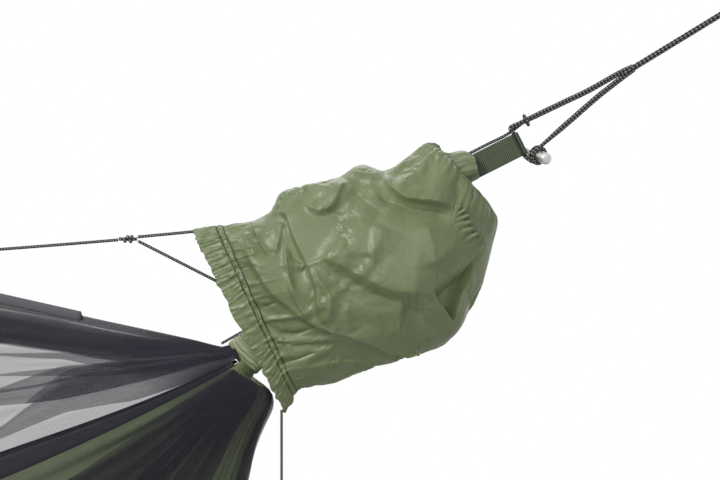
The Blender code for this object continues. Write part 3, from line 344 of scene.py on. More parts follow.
bend = RING_WIRE / 2 + 0.0025 + ROPE / 2
reach = RING_RADIUS - RING_WIRE / 2 - ROPE / 2 - 0.0006
half = [(reach + bend * 0.9 + share * (ANCHOR_EYE - reach - bend * 0.9), bend + (ROPE / 2 - bend) * share)
        for share in (1, 0.6, 0.2)]
half += [(reach + (1 - cos(t)) * bend * 0.9, sin(t) * bend) for t in np.linspace(pi / 2, 0, 5)[:-1]]
anchor_eye = smooth_through([along * ROPE_DOWN + aside * Y for along, aside in half] + [reach * ROPE_DOWN]
                            + [along * ROPE_DOWN - aside * Y for along, aside in reversed(half)], 0.0009)
single = [run * ROPE_DOWN for run in np.arange(ANCHOR_EYE - 0.012, ROPE_RUN + 0.004, 0.0009)]
single_wide = [ROPE * (1 + 0.35 * exp(-((run - ANCHOR_EYE) / 0.018) ** 2))
               for run in np.arange(ANCHOR_EYE - 0.012, ROPE_RUN + 0.004, 0.0009)]
fold_middle = FOLD - WEBBING_LEAN * Y
corner = fold_middle - (WEBBING / 2 + 0.0067) * WEB_BELOW
leg_down = unit(corner - THROAT)
upper_leg = smooth_through([THROAT - 0.010 * ROPE_DOWN - 0.0012 * ROPE_BELOW,
                            THROAT + 0.006 * leg_down - 0.0024 * ROPE_BELOW,
                            *(corner - back * leg_down for back in (0.090, 0.060, 0.035, 0.011)),
                            corner, corner + 0.006 * WEB_BELOW, fold_middle,
                            fold_middle + (WEBBING / 2 + 0.001) * WEB_BELOW,
                            on_pin(WRAPS[0], fold_middle + WEBBING * WEB_BELOW - PIN)], 0.0009)
lower_end = on_pin(WRAPS[1], -Y)
lower_up = unit(THROAT - lower_end)
lower_leg = smooth_through([THROAT - 0.010 * ROPE_DOWN + 0.0012 * ROPE_BELOW,
                            THROAT + 0.006 * EYE_DOWN + 0.0024 * ROPE_BELOW,
                            *(lower_end + back * lower_up for back in (0.090, 0.060, 0.035, 0)),
                            lower_end - 0.004 * lower_up], 0.0009)
wraps = [plaited(round_trip(PIN + offset * TOGGLE_AXIS, ON_PIN, PIN_SIDE, PIN_HIGH, 60), EYE_STRAND)
         for offset in WRAPS]
for end in ("near", "far"):
    make(f"{end}_suspension_rope_plait",
         [plaited(anchor_eye, 0.0056, 6), plaited(single, single_wide, 7),
          plaited(upper_leg, tapered(upper_leg, LEG, STRAND, FOLD, 0.016, 0.034), 6),
          plaited(lower_leg, tapered(lower_leg, LEG, EYE_STRAND, lower_end, 0.004, 0.045), 6), *wraps],
         polyester, "hammock", end, replaces=[f"{end}_suspension_rope"], slot="black_braid")

# Toggles: a plain turned pin of 12 mm aluminium bar that closes the rope's eye. The tool leaves
# fine rings on its ends and a broken edge; the sides are rubbed dull by the cord.
aluminium, tree, shader = finish_named("turned_aluminium", Metallic=1.0, Roughness=0.32)
rings = add(tree, "TexWave", {0: (add(tree, "TexCoord"), "UV"), "Scale": 1.0, "Distortion": 0.6, "Detail": 1.0})
scuffs = add(tree, "TexNoise", {"Scale": 420.0, "Detail": 5.0, "Roughness": 0.7})
tone = add(tree, "Mix", {0: scuffs, 6: linear("b0afac"), 7: linear("f0eeea")}, data_type="RGBA")
tree.links.new(tone.outputs[2], shader.inputs["Base Color"])
tree.links.new(add(tree, "MapRange", {0: scuffs, 3: 0.22, 4: 0.50}).outputs[0], shader.inputs["Roughness"])
tree.links.new(add(tree, "Bump", {"Strength": 0.25, "Distance": 0.0002, "Height": rings}).outputs[0],
               shader.inputs["Normal"])
PIN_PROFILE = ((-22.0, 0.3), (-22.0, 3.2), (-21.85, 5.1), (-21.3, 5.8), (-20.6, 6.0), (-12, 6.0), (0, 6.0),
               (12, 6.0), (20.6, 6.0), (21.3, 5.8), (21.85, 5.1), (22.0, 3.2), (22.0, 0.3))
rows, uvs = [], []
for along, radius in PIN_PROFILE:
    turns = np.arange(40) / 40
    rows.append([PIN + along / 1000 * TOGGLE_AXIS + radius / 1000 * (cos(2 * pi * t) * PIN_SIDE + sin(2 * pi * t) * PIN_HIGH)
                 for t in turns])
    uvs.append([(along - radius, t) for t in np.append(turns, 1)])
for end in ("near", "far"):
    make(f"{end}_toggle_pin", [(np.array(rows), np.array(uvs, float), True, True)], aluminium, f"{end}_toggle", end,
         replaces=[f"{end}_toggle"], slot="turned_aluminium", sharp=50)

# Webbing loops: 25 mm polyester strap with a rib every 2 mm, folded round the rope and through
# the tunnel at the bed's end. The ribs are woven, and the selvedge is smooth. Its colour has a painted highlight on
# each rib's crown and painted shade between the ribs.
FALL_DOWN = np.array([-cos(radians(41.75)), 0, -sin(radians(41.75))])
FALL_BELOW = np.array([sin(radians(41.75)), 0, -cos(radians(41.75))])
STRAIGHT, RUN = 0.098, 0.2520
BEND = FOLD + STRAIGHT * WEB_DOWN
TURN = BEND + RUN * FALL_DOWN
TURN_RADIUS, CHANNEL_ARM = 0.0145, 0.022
RIB = 0.0020


def ramp(value, start, end):
    share = np.clip((value - start) / (end - start), 0, 1)
    return share * share * (3 - 2 * share)


def strap_at(run):
    """Middle line, lower side and half spread of the two layers at a run from the fold."""
    total = STRAIGHT + RUN
    middle = FOLD + run * WEB_DOWN if run < STRAIGHT else BEND + (run - STRAIGHT) * FALL_DOWN
    tilt = radians(26.8) + radians(41.75 - 26.8) * ramp(run, STRAIGHT - 0.020, STRAIGHT + 0.020)
    together = (0.0006 + WEBBING_THICK) / 2
    spread = together + (FOLD_RADIUS - together) * (1 - ramp(run, 0, 0.050))
    spread += (TURN_RADIUS - together) * ramp(run, total - 0.090, total - CHANNEL_ARM)
    middle = middle - WEBBING_LEAN * (1 - ramp(run, 0, 0.050)) * Y
    return middle, np.array([sin(tilt), 0, -cos(tilt)]), spread


strap = []
runs = np.concatenate([np.arange(0.004, 0.130, RIB / 4), np.arange(0.130, STRAIGHT + RUN, RIB / 4)])
front = [(m - s * Y, side) for m, side, s in map(strap_at, runs)]
back = [(m + s * Y, side) for m, side, s in map(strap_at, runs[::-1])]
turn = [(TURN + TURN_RADIUS * (cos(a) * FALL_DOWN + sin(a) * Y), FALL_BELOW) for a in np.linspace(-pi / 2, pi / 2, 90)]
fold = [(fold_middle + FOLD_RADIUS * (sin(a) * Y - cos(a) * WEB_DOWN), WEB_BELOW) for a in np.linspace(pi / 2, -pi / 2, 24)]
strap = front + turn[1:-1] + back + fold[1:-1]
centres = np.array([p for p, _ in strap])
belows = np.array([s for _, s in strap])
tangents = np.roll(centres, -2, 0) - np.roll(centres, 2, 0)
outwards = np.cross(belows, tangents)
outwards /= np.linalg.norm(outwards, axis=1, keepdims=True)
run = np.concatenate([[0], np.cumsum(np.linalg.norm(np.diff(centres, axis=0), axis=1))])
rib = np.abs(np.sin(pi * run / RIB))
rows, uvs = [], []
section = [(-1, 0.0), (-0.97, 0.8), (-0.88, 1), (-0.5, 1), (0, 1), (0.5, 1), (0.88, 1), (0.97, 0.8), (1, 0),
           (0.97, -0.8), (0.88, -1), (0.5, -1), (0, -1), (-0.5, -1), (-0.88, -1), (-0.97, -0.8)]
for k in range(len(strap)):
    row = []
    for across, out in section:
        thick = WEBBING_THICK / 2 * (0.62 + 0.38 * rib[k] if abs(across) < 0.95 else 0.85)
        row.append(centres[k] + across * WEBBING / 2 * (1 - 0.012 * (1 - rib[k])) * belows[k] + out * thick * outwards[k])
    rows.append(row)
    uvs.append([(a * WEBBING / 2, run[k]) for a, _ in section] + [(-WEBBING / 2, run[k])])
rows.append(rows[0])
uvs.append([(u, run[-1] + 0.0005) for u, _ in uvs[0]])
ribbed, tree, shader = finish_named("woven_polyester_webbing", Roughness=0.82, Specular_IOR_Level=0.3,
                                    Sheen_Weight=0.15, Sheen_Roughness=0.5)
place = add(tree, "SeparateXYZ", {0: (add(tree, "TexCoord"), "UV")})
ribs = add(tree, "Math", {0: add(tree, "Math", {0: (place, "Y"), 1: pi / RIB}, operation="MULTIPLY")}, operation="SINE")
ribs = add(tree, "Math", {0: ribs}, operation="ABSOLUTE")
threads = add(tree, "Math", {0: add(tree, "Math", {0: (place, "X"), 1: pi / 0.0011}, operation="MULTIPLY")}, operation="SINE")
wear = add(tree, "TexNoise", {"Scale": 240.0, "Detail": 4.0})
# painted highlight on each rib's crown and painted shade between the ribs, scaled by random wear in the tone
rib_highlight_and_wear = add(tree, "MapRange", {0: ribs, 1: 0.15, 2: 0.95, 3: 0.0, 4: 1.0})
rib_highlight_and_wear = add(tree, "Math", {0: rib_highlight_and_wear, 1: add(tree, "MapRange", {0: wear, 1: 0.3, 2: 0.7, 3: 0.65, 4: 1.1})}, operation="MULTIPLY")
tone = add(tree, "Mix", {0: rib_highlight_and_wear, 6: linear("2a3026"), 7: linear("6d7962")}, data_type="RGBA")
tree.links.new(tone.outputs[2], shader.inputs["Base Color"])
tree.links.new(add(tree, "Bump", {"Strength": 0.35, "Distance": 0.0002, "Height": threads}).outputs[0], shader.inputs["Normal"])
for end in ("near", "far"):
    make(f"{end}_webbing_loop_strap", [(np.array(rows), np.array(uvs), True, False)], ribbed, "hammock", end,
         replaces=[f"{end}_webbing_loop"], slot="green_webbing")

# Bed and its end channels: light woven nylon. The end of the cloth is turned round the webbing
# as a tunnel and shirred on it, and the bed's pleats fan out from there.
GATHER = TURN + (TURN_RADIUS + WEBBING_THICK / 2 + 0.0014 + 0.0030 + 0.0045) * FALL_DOWN
GATHER_RADIUS, HALF_SPAN = 0.0235, 1.147
EDGE_HALF_WIDTH, EDGE_DROP, BELLY_DROP = 0.360, 0.690, 1.060
BED_START = GATHER + GATHER_RADIUS * FALL_BELOW
NET_START = GATHER - GATHER_RADIUS * FALL_BELOW
SIDE_PANEL = radians(56)


def cloth_finish(name, dark, light, weave, roughness=0.40, creases=0.35):
    """Light plain-woven nylon: satin, with fine creases and a little unevenness of dye."""
    made, tree, shader = finish_named(name, Roughness=roughness, Specular_IOR_Level=0.5, Sheen_Weight=0.25,
                                      Sheen_Roughness=0.35)
    place = add(tree, "TexCoord")
    dye = add(tree, "TexNoise", {0: (place, "Object"), "Scale": 16.0, "Detail": 3.0})
    tone = add(tree, "Mix", {0: add(tree, "MapRange", {0: dye, 1: 0.3, 2: 0.7}), 6: linear(dark), 7: linear(light)},
               data_type="RGBA")
    tree.links.new(tone.outputs[2], shader.inputs["Base Color"])
    crease = add(tree, "TexNoise", {0: (place, "Object"), "Scale": 38.0, "Detail": 6.0, "Roughness": 0.62, "Distortion": 0.8})
    threads = add(tree, "TexChecker", {0: (place, "UV"), "Scale": 1.0 / weave})
    first = add(tree, "Bump", {"Strength": creases, "Distance": 0.004, "Height": crease})
    fine = add(tree, "Bump", {"Strength": 0.10, "Distance": 0.0003, "Height": (threads, 1), "Normal": first})
    tree.links.new(fine.outputs[0], shader.inputs["Normal"])
    return made


taffeta = cloth_finish("woven_nylon_taffeta", "6f7b53", "7f8b64", 0.0010, roughness=0.38)
pale_taffeta = cloth_finish("pale_nylon_taffeta", "8d9872", "a3ad87", 0.0010, creases=0.25)


def pattern(rows, wrap=False):
    """Pattern coordinates in metres: across and along the cloth."""
    closed = np.concatenate([rows, rows[:, :1]], 1) if wrap else rows
    across = np.concatenate([np.zeros((len(rows), 1)), np.cumsum(np.linalg.norm(np.diff(closed, axis=1), axis=2), 1)], 1)
    along = np.concatenate([[0], np.cumsum(np.linalg.norm(np.diff(rows.mean(1), axis=0), axis=1))])
    return np.stack([across, np.broadcast_to(along[:, None], across.shape)], -1)


SHIRRS = 21
steps = 6 * SHIRRS
arc = pi * TURN_RADIUS
rows = []
for k in range(steps + 1):
    run = (k / steps - 0.5) * (arc + 2 * CHANNEL_ARM)
    if abs(run) <= arc / 2:
        out = cos(run / TURN_RADIUS) * FALL_DOWN + sin(run / TURN_RADIUS) * Y
        centre = TURN + TURN_RADIUS * out
    else:
        out = Y if run > 0 else -Y
        centre = TURN + TURN_RADIUS * out - (abs(run) - arc / 2) * FALL_DOWN
    row = []
    for j in range(48):
        b = 2 * pi * j / 48
        wave = sin(2 * pi * k / 6 + 1.6 * sin(2 * b) + 1.1 * noise.noise(Vector((4 * cos(b), 4 * sin(b), 0.05 * k))))
        swell = 0.0007 + 0.0011 * wave
        row.append(centre + (0.0198 + swell) * cos(b) * FALL_BELOW + (0.0048 + swell) * sin(b) * out)
    rows.append(row)
rows = np.array(rows)
for end in ("near", "far"):
    tunnel = make(f"{end}_end_channel_cloth", [(rows, pattern(rows, True), True, False)], pale_taffeta, "hammock", end,
                  replaces=[f"{end}_end_channel"], slot="pale_green_nylon", solidify=0.0005)


def edge_arc(side):
    """Centre, radius, direction towards the middle and half angle of the arc that a bed's edge follows."""
    start = GATHER + side * GATHER_RADIUS * Y
    middle = np.array([MIDDLE_X, side * EDGE_HALF_WIDTH, -EDGE_DROP])
    drop = middle - start
    drop[0] = 0
    rise = np.linalg.norm(drop)
    radius = (HALF_SPAN ** 2 + rise ** 2) / (2 * rise)
    return middle - radius * drop / rise, radius, drop / rise, asin(HALF_SPAN / radius)


def edge_point(side, angle, inset=0.0):
    centre, radius, down, _ = edge_arc(side)
    return centre + (radius - inset) * (sin(angle) * X + cos(angle) * down)


def bed_point(w, turn):
    """Point of the bed at a share of the way to the middle; turn is 0 at the front edge, pi at the back."""
    edge = edge_point(-1, edge_arc(-1)[3] * (1 - w), inset=-0.0008)
    angle = w * pi / 2
    bulge = 0.020 * angle / radians(1.6) * exp(1 - angle / radians(1.6))
    x = MIDDLE_X + (BED_START[0] - MIDDLE_X) * max(cos(angle), 0) ** 0.6 + bulge
    low = np.array([x, 0, BED_START[2] - (BELLY_DROP + BED_START[2]) * sin(angle)])
    out = edge + (low - edge) * sin(turn)
    return np.array([out[0], edge[1] * cos(turn), out[2]])


def shares(near_rows, rest_rows, near_share=0.30):
    """Shares of the way to the middle, closer together near the gather."""
    first = near_share * np.linspace(0, 1, near_rows) ** 1.25
    return np.concatenate([first, np.linspace(near_share, 1, rest_rows + 1)[1:]])


def both_ways(rows):
    rows = np.array(rows)
    mirror = rows[:-1][::-1] * (-1, 1, 1) + (2 * MIDDLE_X, 0, 0)
    return np.concatenate([rows, mirror])


def into_channel(row):
    """The gathered end of a cloth, drawn together and tucked against the end channel."""
    return GATHER + 0.80 * (row - GATHER) - 0.0092 * FALL_DOWN


def square_to(points, ahead):
    across = np.gradient(points, axis=0)
    normal = np.cross(across, ahead - points)
    return normal / (np.linalg.norm(normal, axis=1, keepdims=True) + 1e-12)


def bed_panel(name, start, end, pleats, seed):
    columns = 8 * pleats
    rows = []
    for w in shares(46, 20):
        turns = start + (end - start) * np.linspace(0, 1, columns + 1)
        points = np.array([bed_point(w, t) for t in turns])
        width = np.linalg.norm(np.diff(points, axis=0), axis=1).sum()
        normal = square_to(points, np.array([bed_point(min(w + 0.01, 1), t) for t in turns])) if w < 0.98 else 0 * points
        share = w / 0.10
        depth = min(0.0035 * share * exp(1 - share), 0.40 * width / pleats)
        edge = np.sin(pi * np.linspace(0, 1, columns + 1)) ** 0.4
        phase = np.array([noise.noise(Vector((seed, 5 * w, 0.35 * pleats * j / columns))) for j in range(columns + 1)])
        wave = np.cos(2 * pi * pleats * np.linspace(0, 1, columns + 1) + 3.4 * phase)
        sag = np.array([noise.noise(Vector((seed + 9, 6 * w, 2.5 * j / columns))) for j in range(columns + 1)]) * 0.012 * w
        rows.append(points + normal * ((depth * wave - depth * 0.5 + sag) * edge)[:, None])
    rows = both_ways([into_channel(rows[0])] + rows)
    made = make(f"{name}_cloth", [(rows, pattern(rows), False, False)], taffeta, "hammock", replaces=[name],
                slot="green_nylon")
    return made


bed_panel("bed_front_panel", 0, SIDE_PANEL, 9, 1.0)
bed_panel("bed_centre_panel", SIDE_PANEL, pi - SIDE_PANEL, 12, 2.0)
bed_panel("bed_back_panel", pi - SIDE_PANEL, pi, 9, 3.0)

# Insect net: two panels of fine black polyester net, sewn along the ridge and to the bed's edges.
# Towards the ends their fullness lies in flat folds, and the front panel's hang over the bed.
NET_SLOPE, HANGER_DROP = 0.225, 0.014
KNOT_X, KNOT_DROP = -0.7145, 0.2933
RIDGE_END_SLOPE = radians(4.9)


def net_finish(name, thin, thick):
    """Knitted net: each layer holds back a share of the light, and more where it is drawn together."""
    made, tree, shader = finish_named(name, Roughness=0.9, Specular_IOR_Level=0.2, Sheen_Weight=0.10)
    place = add(tree, "SeparateXYZ", {0: (add(tree, "TexCoord"), "UV")})
    wales = add(tree, "Math", {0: add(tree, "Math", {0: (place, "Y"), 1: 2 * pi / 0.0026}, operation="MULTIPLY")},
                operation="SINE")
    courses = add(tree, "Math", {0: add(tree, "Math", {0: (place, "X"), 1: 2 * pi / 0.0030}, operation="MULTIPLY")},
                  operation="SINE")
    knit = add(tree, "Math", {0: wales, 1: courses}, operation="MULTIPLY")
    knit = add(tree, "MapRange", {0: knit, 1: -1.0, 2: 1.0, 3: 1 - thin, 4: 1 - thick})
    spot = add(tree, "SeparateXYZ", {0: (add(tree, "NewGeometry"), "Position")})
    along = add(tree, "Math", {0: add(tree, "Math", {0: (spot, "X"), 1: MIDDLE_X}, operation="SUBTRACT")},
                operation="ABSOLUTE")
    spot = add(tree, "CombineXYZ", {0: along, 1: (spot, "Y"), 2: (spot, "Z")})
    away = add(tree, "VectorMath", {0: spot, 1: (GATHER[0] - MIDDLE_X, 0, GATHER[2])}, operation="DISTANCE")
    drawn = add(tree, "MapRange", {0: (away, "Value"), 1: 0.02, 2: 0.13, 3: 2.0, 4: 0.9}, interpolation_type="SMOOTHSTEP")
    streak = add(tree, "TexNoise", {0: add(tree, "CombineXYZ", {0: (place, "X")}), "Scale": 90.0, "Detail": 3.0})
    drawn = add(tree, "Math", {0: drawn, 1: add(tree, "MapRange", {0: streak, 1: 0.3, 2: 0.7, 3: 0.75, 4: 1.35})},
                operation="MULTIPLY")
    passed = add(tree, "Math", {0: knit, 1: drawn}, operation="POWER")
    tree.links.new(add(tree, "Math", {0: 1.0, 1: passed}, operation="SUBTRACT").outputs[0], shader.inputs["Alpha"])
    haze = add(tree, "TexNoise", {"Scale": 30.0, "Detail": 3.0})
    tone = add(tree, "Mix", {0: haze, 6: linear("2c2a33"), 7: linear("403e49")}, data_type="RGBA")
    tree.links.new(tone.outputs[2], shader.inputs["Base Color"])
    return made


net = net_finish("knitted_polyester_net", 0.26, 0.48)


def ridge_height(x):
    run = KNOT_X - MIDDLE_X
    bend = tan(RIDGE_END_SLOPE) / (2 * run)
    return -KNOT_DROP - bend * run ** 2 + bend * (x - MIDDLE_X) ** 2


def net_top(w):
    x = NET_START[0] + (MIDDLE_X - NET_START[0]) * w
    rising = NET_START[2] + NET_SLOPE * (NET_START[0] - x)
    return np.array([x, 0, -0.006 * log(exp(-rising / 0.006) + exp((HANGER_DROP - ridge_height(x)) / 0.006))])


def tape_width(side, w):
    full = 0.028 if side < 0 else 0.016
    return 0.005 + (full - 0.005) * ramp(w, 0, 0.25)


def net_points(side, w, v):
    """Points of the smooth net at shares v of the way from the ridge to the edge's tape."""
    top = net_top(w) + side * 0.0013 * Y
    edge = edge_point(side, edge_arc(side)[3] * (1 - w), inset=tape_width(side, w) + 0.0008)
    blend = exp(-w / 0.04)
    out = v * (1 - blend) + np.sin(v * pi / 2) * blend
    down = v * (1 - blend) + (1 - np.cos(v * pi / 2)) * blend
    sag = 0.025 * np.sin(pi * v) * sin(pi * w / 2)
    return np.stack([top[0] + (edge[0] - top[0]) * v, top[1] + (edge[1] - top[1]) * out,
                     top[2] + (edge[2] - top[2]) * down - sag], -1)


def over_bed(side, w, u):
    """Points at shares u of a panel: up to 1 on the smooth net, and from there on the bed's outside."""
    on_net = net_points(side, w, np.clip(u, 0, 1))
    turns = np.maximum(u - 1, 0) * pi / 2 * (1 - ramp(w, 0.22, 0.45))
    on_bed = np.array([bed_point(w, t if side < 0 else pi - t) for t in turns])
    return np.where((u > 1)[:, None], on_bed, on_net)


# Fold lines of a panel, in the order in which the cloth runs: its share across at four places on
# the way to the middle, where it goes back and forth over itself. Beyond them it opens out.
FOLD_PLACES = (0.038, 0.093, 0.148, 0.203)
FRONT_FOLDS = ((0, 0, 0, 0), (0.155, 0.103, 0.059, 0.061), (0.02, 0.01, 0.004, 0.003), (0.653, 0.441, 0.329, 0.275),
               (0.17, 0.115, 0.07, 0.07), (0.63, 0.43, 0.32, 0.268), (0.19, 0.125, 0.08, 0.085),
               (0.66, 0.45, 0.333, 0.278), (0.20, 0.14, 0.10, 0.10), (0.693, 0.542, 0.394, 0.355),
               (0.534, 0.414, 0.344, 0.341), (0.733, 0.625, 0.530, 0.485), (0.574, 0.469, 0.465, 0.475),
               (0.773, 0.744, 0.725, 0.676), (0.574, 0.469, 0.455, 0.564), (0.79, 0.76, 0.74, 0.69),
               (0.534, 0.451, 0.499, 0.818), (0.97, 0.945, 0.857, 0.910), (0.60, 0.55, 0.60, 0.84), (1, 1, 1, 1))
OVERHANG = ((1, 1, 1, 1), (1.34, 1.34, 1.32, 1.30), (1.06, 1.08, 1.10, 1.12), (1.52, 1.54, 1.55, 1.55),
            (1.18, 1.22, 1.24, 1.24), (1.55, 1.57, 1.58, 1.58), (1.86, 1.87, 1.88, 1.88), (1.70, 1.71, 1.72, 1.72),
            (1.85, 1.86, 1.86, 1.86))
BACK_FOLDS = ((0, 0, 0, 0), (0.16, 0.11, 0.08, 0.075), (0.01, 0.01, 0.01, 0.01), (0.55, 0.40, 0.31, 0.26),
              (0.20, 0.17, 0.15, 0.13), (0.60, 0.46, 0.36, 0.30), (0.30, 0.27, 0.25, 0.23), (0.76, 0.66, 0.60, 0.62),
              (0.70, 0.60, 0.56, 0.60), (1, 1, 1, 1))
LAYER, CLEAR_OF_BED = 0.0005, 0.0045    # each layer beyond the last, and the overhang beyond the bed's pleats
OVERHANG_ENDS = 0.32                    # share of the way to the middle where the overhang runs out, before the zip
COLUMNS = 9                             # points of each pass from fold to fold


def folded(folds, side, w, seed, clear=0.0):
    """One row of cloth that goes back and forth between fold lines, each pass outside the last."""
    lines = np.array(folds)
    steps = np.linspace(0, 1, COLUMNS + 1)[1:]
    layers = np.concatenate([[0]] + [k + 0.5 - 0.5 * np.cos(pi * steps) for k in range(len(lines) - 1)])
    flat = np.concatenate([[0]] + [(k + steps) for k in range(len(lines) - 1)]) / (len(lines) - 1)
    at = np.array([np.interp(w, FOLD_PLACES, line) for line in lines])
    at = at + 0.012 * np.array([noise.noise(Vector((seed + 5 * k, 9 * w, 0))) for k in range(len(at))]) * (at % 1 > 0)
    u = np.interp(flat * (len(lines) - 1), np.arange(len(lines)), at)
    if lines.max() > 1:
        u = 1 + (u - 1) * (1 - ramp(w, 0.5 * OVERHANG_ENDS, OVERHANG_ENDS))
        lift = LAYER * layers + clear
    else:
        u = u + (flat - u) * ramp(w, 0.26, 0.60)
        lift = LAYER * (layers - layers[-1] * ramp(u, 0.90, 1.0)) * (1 - ramp(w, 0.30, 0.70))
    across = over_bed(side, w, u + 0.01) - over_bed(side, w, np.maximum(u - 0.01, 0))
    ahead = over_bed(side, min(w + 0.004, 1), u) - over_bed(side, max(w - 0.004, 0), u)
    normal = np.cross(across, ahead)
    normal /= np.linalg.norm(normal, axis=1, keepdims=True) + 1e-12
    outside = np.where(u > 1, -np.sin(np.maximum(u - 1, 0) * pi / 2), 1.0)
    towards = np.where(u > 1, normal[:, 0] * (1 - ramp(w, 0, 0.15)), 0)
    normal *= np.sign(side * normal[:, 1] + outside * normal[:, 2] + towards)[:, None]
    return over_bed(side, w, u) + normal * (lift * ramp(w, 0, 0.03))[:, None], flat


def net_piece(name, rows, flat, held, rests_on, **where):
    """A piece of net from its rows, with its pattern laid along the cloth and not across its folds."""
    rows = np.array(rows)
    wide = float(np.linalg.norm(np.diff(rows, axis=1), axis=2).sum(1).max())
    spread = pattern(rows)
    spread[..., 0] = flat * wide
    made = make(f"{name}_net", [(rows, spread, False, False)], net, "hammock", slot="black_net", **where)


for name, side, folds, seed in (("net_front_panel", -1, FRONT_FOLDS, 11.0), ("net_back_panel", 1, BACK_FOLDS, 17.0)):
    rows = [folded(folds, side, w, seed)[0] for w in shares(64, 24, 0.40)]
    net_piece(name, both_ways([into_channel(rows[0])] + rows), folded(folds, side, 0.1, seed)[1], "gathered",
              ["ridge_cord_plait"], replaces=[name])
for end in ("near", "far"):
    rows = [folded(OVERHANG, -1, w, 23.0, CLEAR_OF_BED)[0] for w in np.linspace(0.004, OVERHANG_ENDS, 56)]
    net_piece(f"{end}_net_overhang", rows, folded(OVERHANG, -1, 0.1, 23.0)[1], "hung", ["bed_front_panel_cloth"], end=end)

# Ridge cord and what is tied to it: 3 mm plaited cord from knot to knot, an upper leg to the
# suspension rope and a lower leg and the net's tie to the webbing. Small loops carry the net.
RIDGE, NET_TIE = 0.0033, 0.0030
KNOT_HALF = 0.0095
ridge_route = [(x, 0, ridge_height(x)) for x in np.arange(2 * MIDDLE_X - KNOT_X + KNOT_HALF, KNOT_X - KNOT_HALF, 0.0012)]
make("ridge_cord_plait", [plaited(ridge_route, RIDGE, sides=12)], polyester, "hammock", replaces=["ridge_cord"],
     slot="black_braid")
KNOT = np.array([KNOT_X, 0, -KNOT_DROP])
edge = WEBBING / 2 + 0.0007 + RIDGE / 2
beside = [FOLD + run * WEB_DOWN - (edge + lift) * WEB_BELOW + (0.0058 - WEBBING_LEAN) * Y
          for run, lift in ((0.080, 0.0015), (0.055, 0), (0.030, 0), (0.006, 0))]
MOUTH = FOLD + (0.0523 + 0.290) * WEB_DOWN + 0.0315 * WEB_BELOW
inside = [MOUTH - along * WEB_DOWN - across * WEB_BELOW for along, across in
          ((0.000, 0.1030), (0.030, 0.0925), (0.076, 0.0765), (0.150, 0.0660), (0.195, 0.0575))]
from_fold = np.linalg.norm(upper_leg - FOLD, axis=1)
near_leg = np.argmin(np.abs(from_fold[:np.argmin(from_fold)] - 0.026))
leg_eye = upper_leg[near_leg]
eye_axis = unit(upper_leg[near_leg + 1] - upper_leg[near_leg - 1])
reach = LEG / 2 + 0.0007 + RIDGE / 2
eye_loop = round_trip(leg_eye, reach, Y, np.cross(eye_axis, Y), 60)


def tie(source, from_turn, thick):
    """A cord from source to a loop round both layers of the webbing."""
    middle, side, spread = strap_at(STRAIGHT + RUN - from_turn)
    room = 0.0007 + thick / 2
    half_a, half_b = WEBBING / 2 + room, spread + WEBBING_THICK / 2 + room + 0.0010
    loop = []
    for a, b, first in ((1, 1, 0), (-1, 1, pi / 2), (-1, -1, pi), (1, -1, 3 * pi / 2)):
        bend_at = middle + a * (half_a - room) * side + b * (half_b - room) * Y
        loop += [bend_at + room * (cos(first + t) * side + sin(first + t) * Y) for t in (0, pi / 6, pi / 3, pi / 2)]
    loop.append(loop[0])
    return [plaited(smooth_through([source, (source + middle - half_a * side) / 2, middle - half_a * side], 0.0012), thick),
            plaited(smooth_through(loop, 0.0010), thick)]


def figure_knot(centre, axis, side, thick):
    """A tight stopper knot: two crossing turns round the cord."""
    across = np.cross(axis, side)
    patches = []
    for tilt, shift in ((0.55, -0.5), (-0.5, 0.35), (0.2, 0.95)):
        lean = unit(across + tilt * axis)
        patches.append(plaited(round_trip(centre + shift * thick * axis * 1.1, 0.88 * thick, side, lean, 40, 0.04), thick))
    patches.append(plaited([centre + s * axis for s in np.linspace(-KNOT_HALF, KNOT_HALF, 24)], thick * 1.15))
    return patches


for end in ("near", "far"):
    make(f"{end}_ridge_knot_plait", figure_knot(KNOT, X, Y, RIDGE), polyester, "hammock", end,
         replaces=[f"{end}_ridge_knot"], slot="black_braid")
    start = KNOT + (KNOT_HALF + 0.0006) * X + 0.0022 * Z
    through = smooth_through([start] + (inside if end == "near" else []) + beside + [leg_eye + reach * Y], 0.0012)
    make(f"{end}_ridge_upper_leg_plait", [plaited(through, RIDGE), plaited(eye_loop, RIDGE)], polyester, "hammock", end,
         replaces=[f"{end}_ridge_upper_leg"], slot="black_braid")
    make(f"{end}_ridge_lower_leg_plait", tie(KNOT + (KNOT_HALF + 0.0012) * X - 0.0022 * Z, 0.042, RIDGE), polyester,
         "hammock", end, replaces=[f"{end}_ridge_lower_leg"], slot="black_braid")
    make(f"{end}_net_tie_plait", tie(NET_START + 0.0035 * Z, 0.030, NET_TIE), polyester, "hammock", end,
         replaces=[f"{end}_net_tie"], slot="black_braid")
for k in range(5):
    low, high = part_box(f"hanging_loop_{k + 1}")
    centre = np.array((low + high) / 2)
    half_high, half_wide = (high.z - low.z) / 2 - 0.001, (high.y - low.y) / 2 - 0.001
    make(f"hanging_loop_{k + 1}_plait",
         [plaited(round_trip(centre, half_high, Z, Y, 40, 0.02, half_wide), 0.0020, sides=12)], polyester, "hammock",
         replaces=[f"hanging_loop_{k + 1}"], slot="black_braid")

# Tapes: narrow woven polyester folded over the net's ridge, and flat along the bed's edges.
RIDGE_TAPE_FROM = 0.3 ** 1.7        # share of the way to the middle where the ridge's tape starts


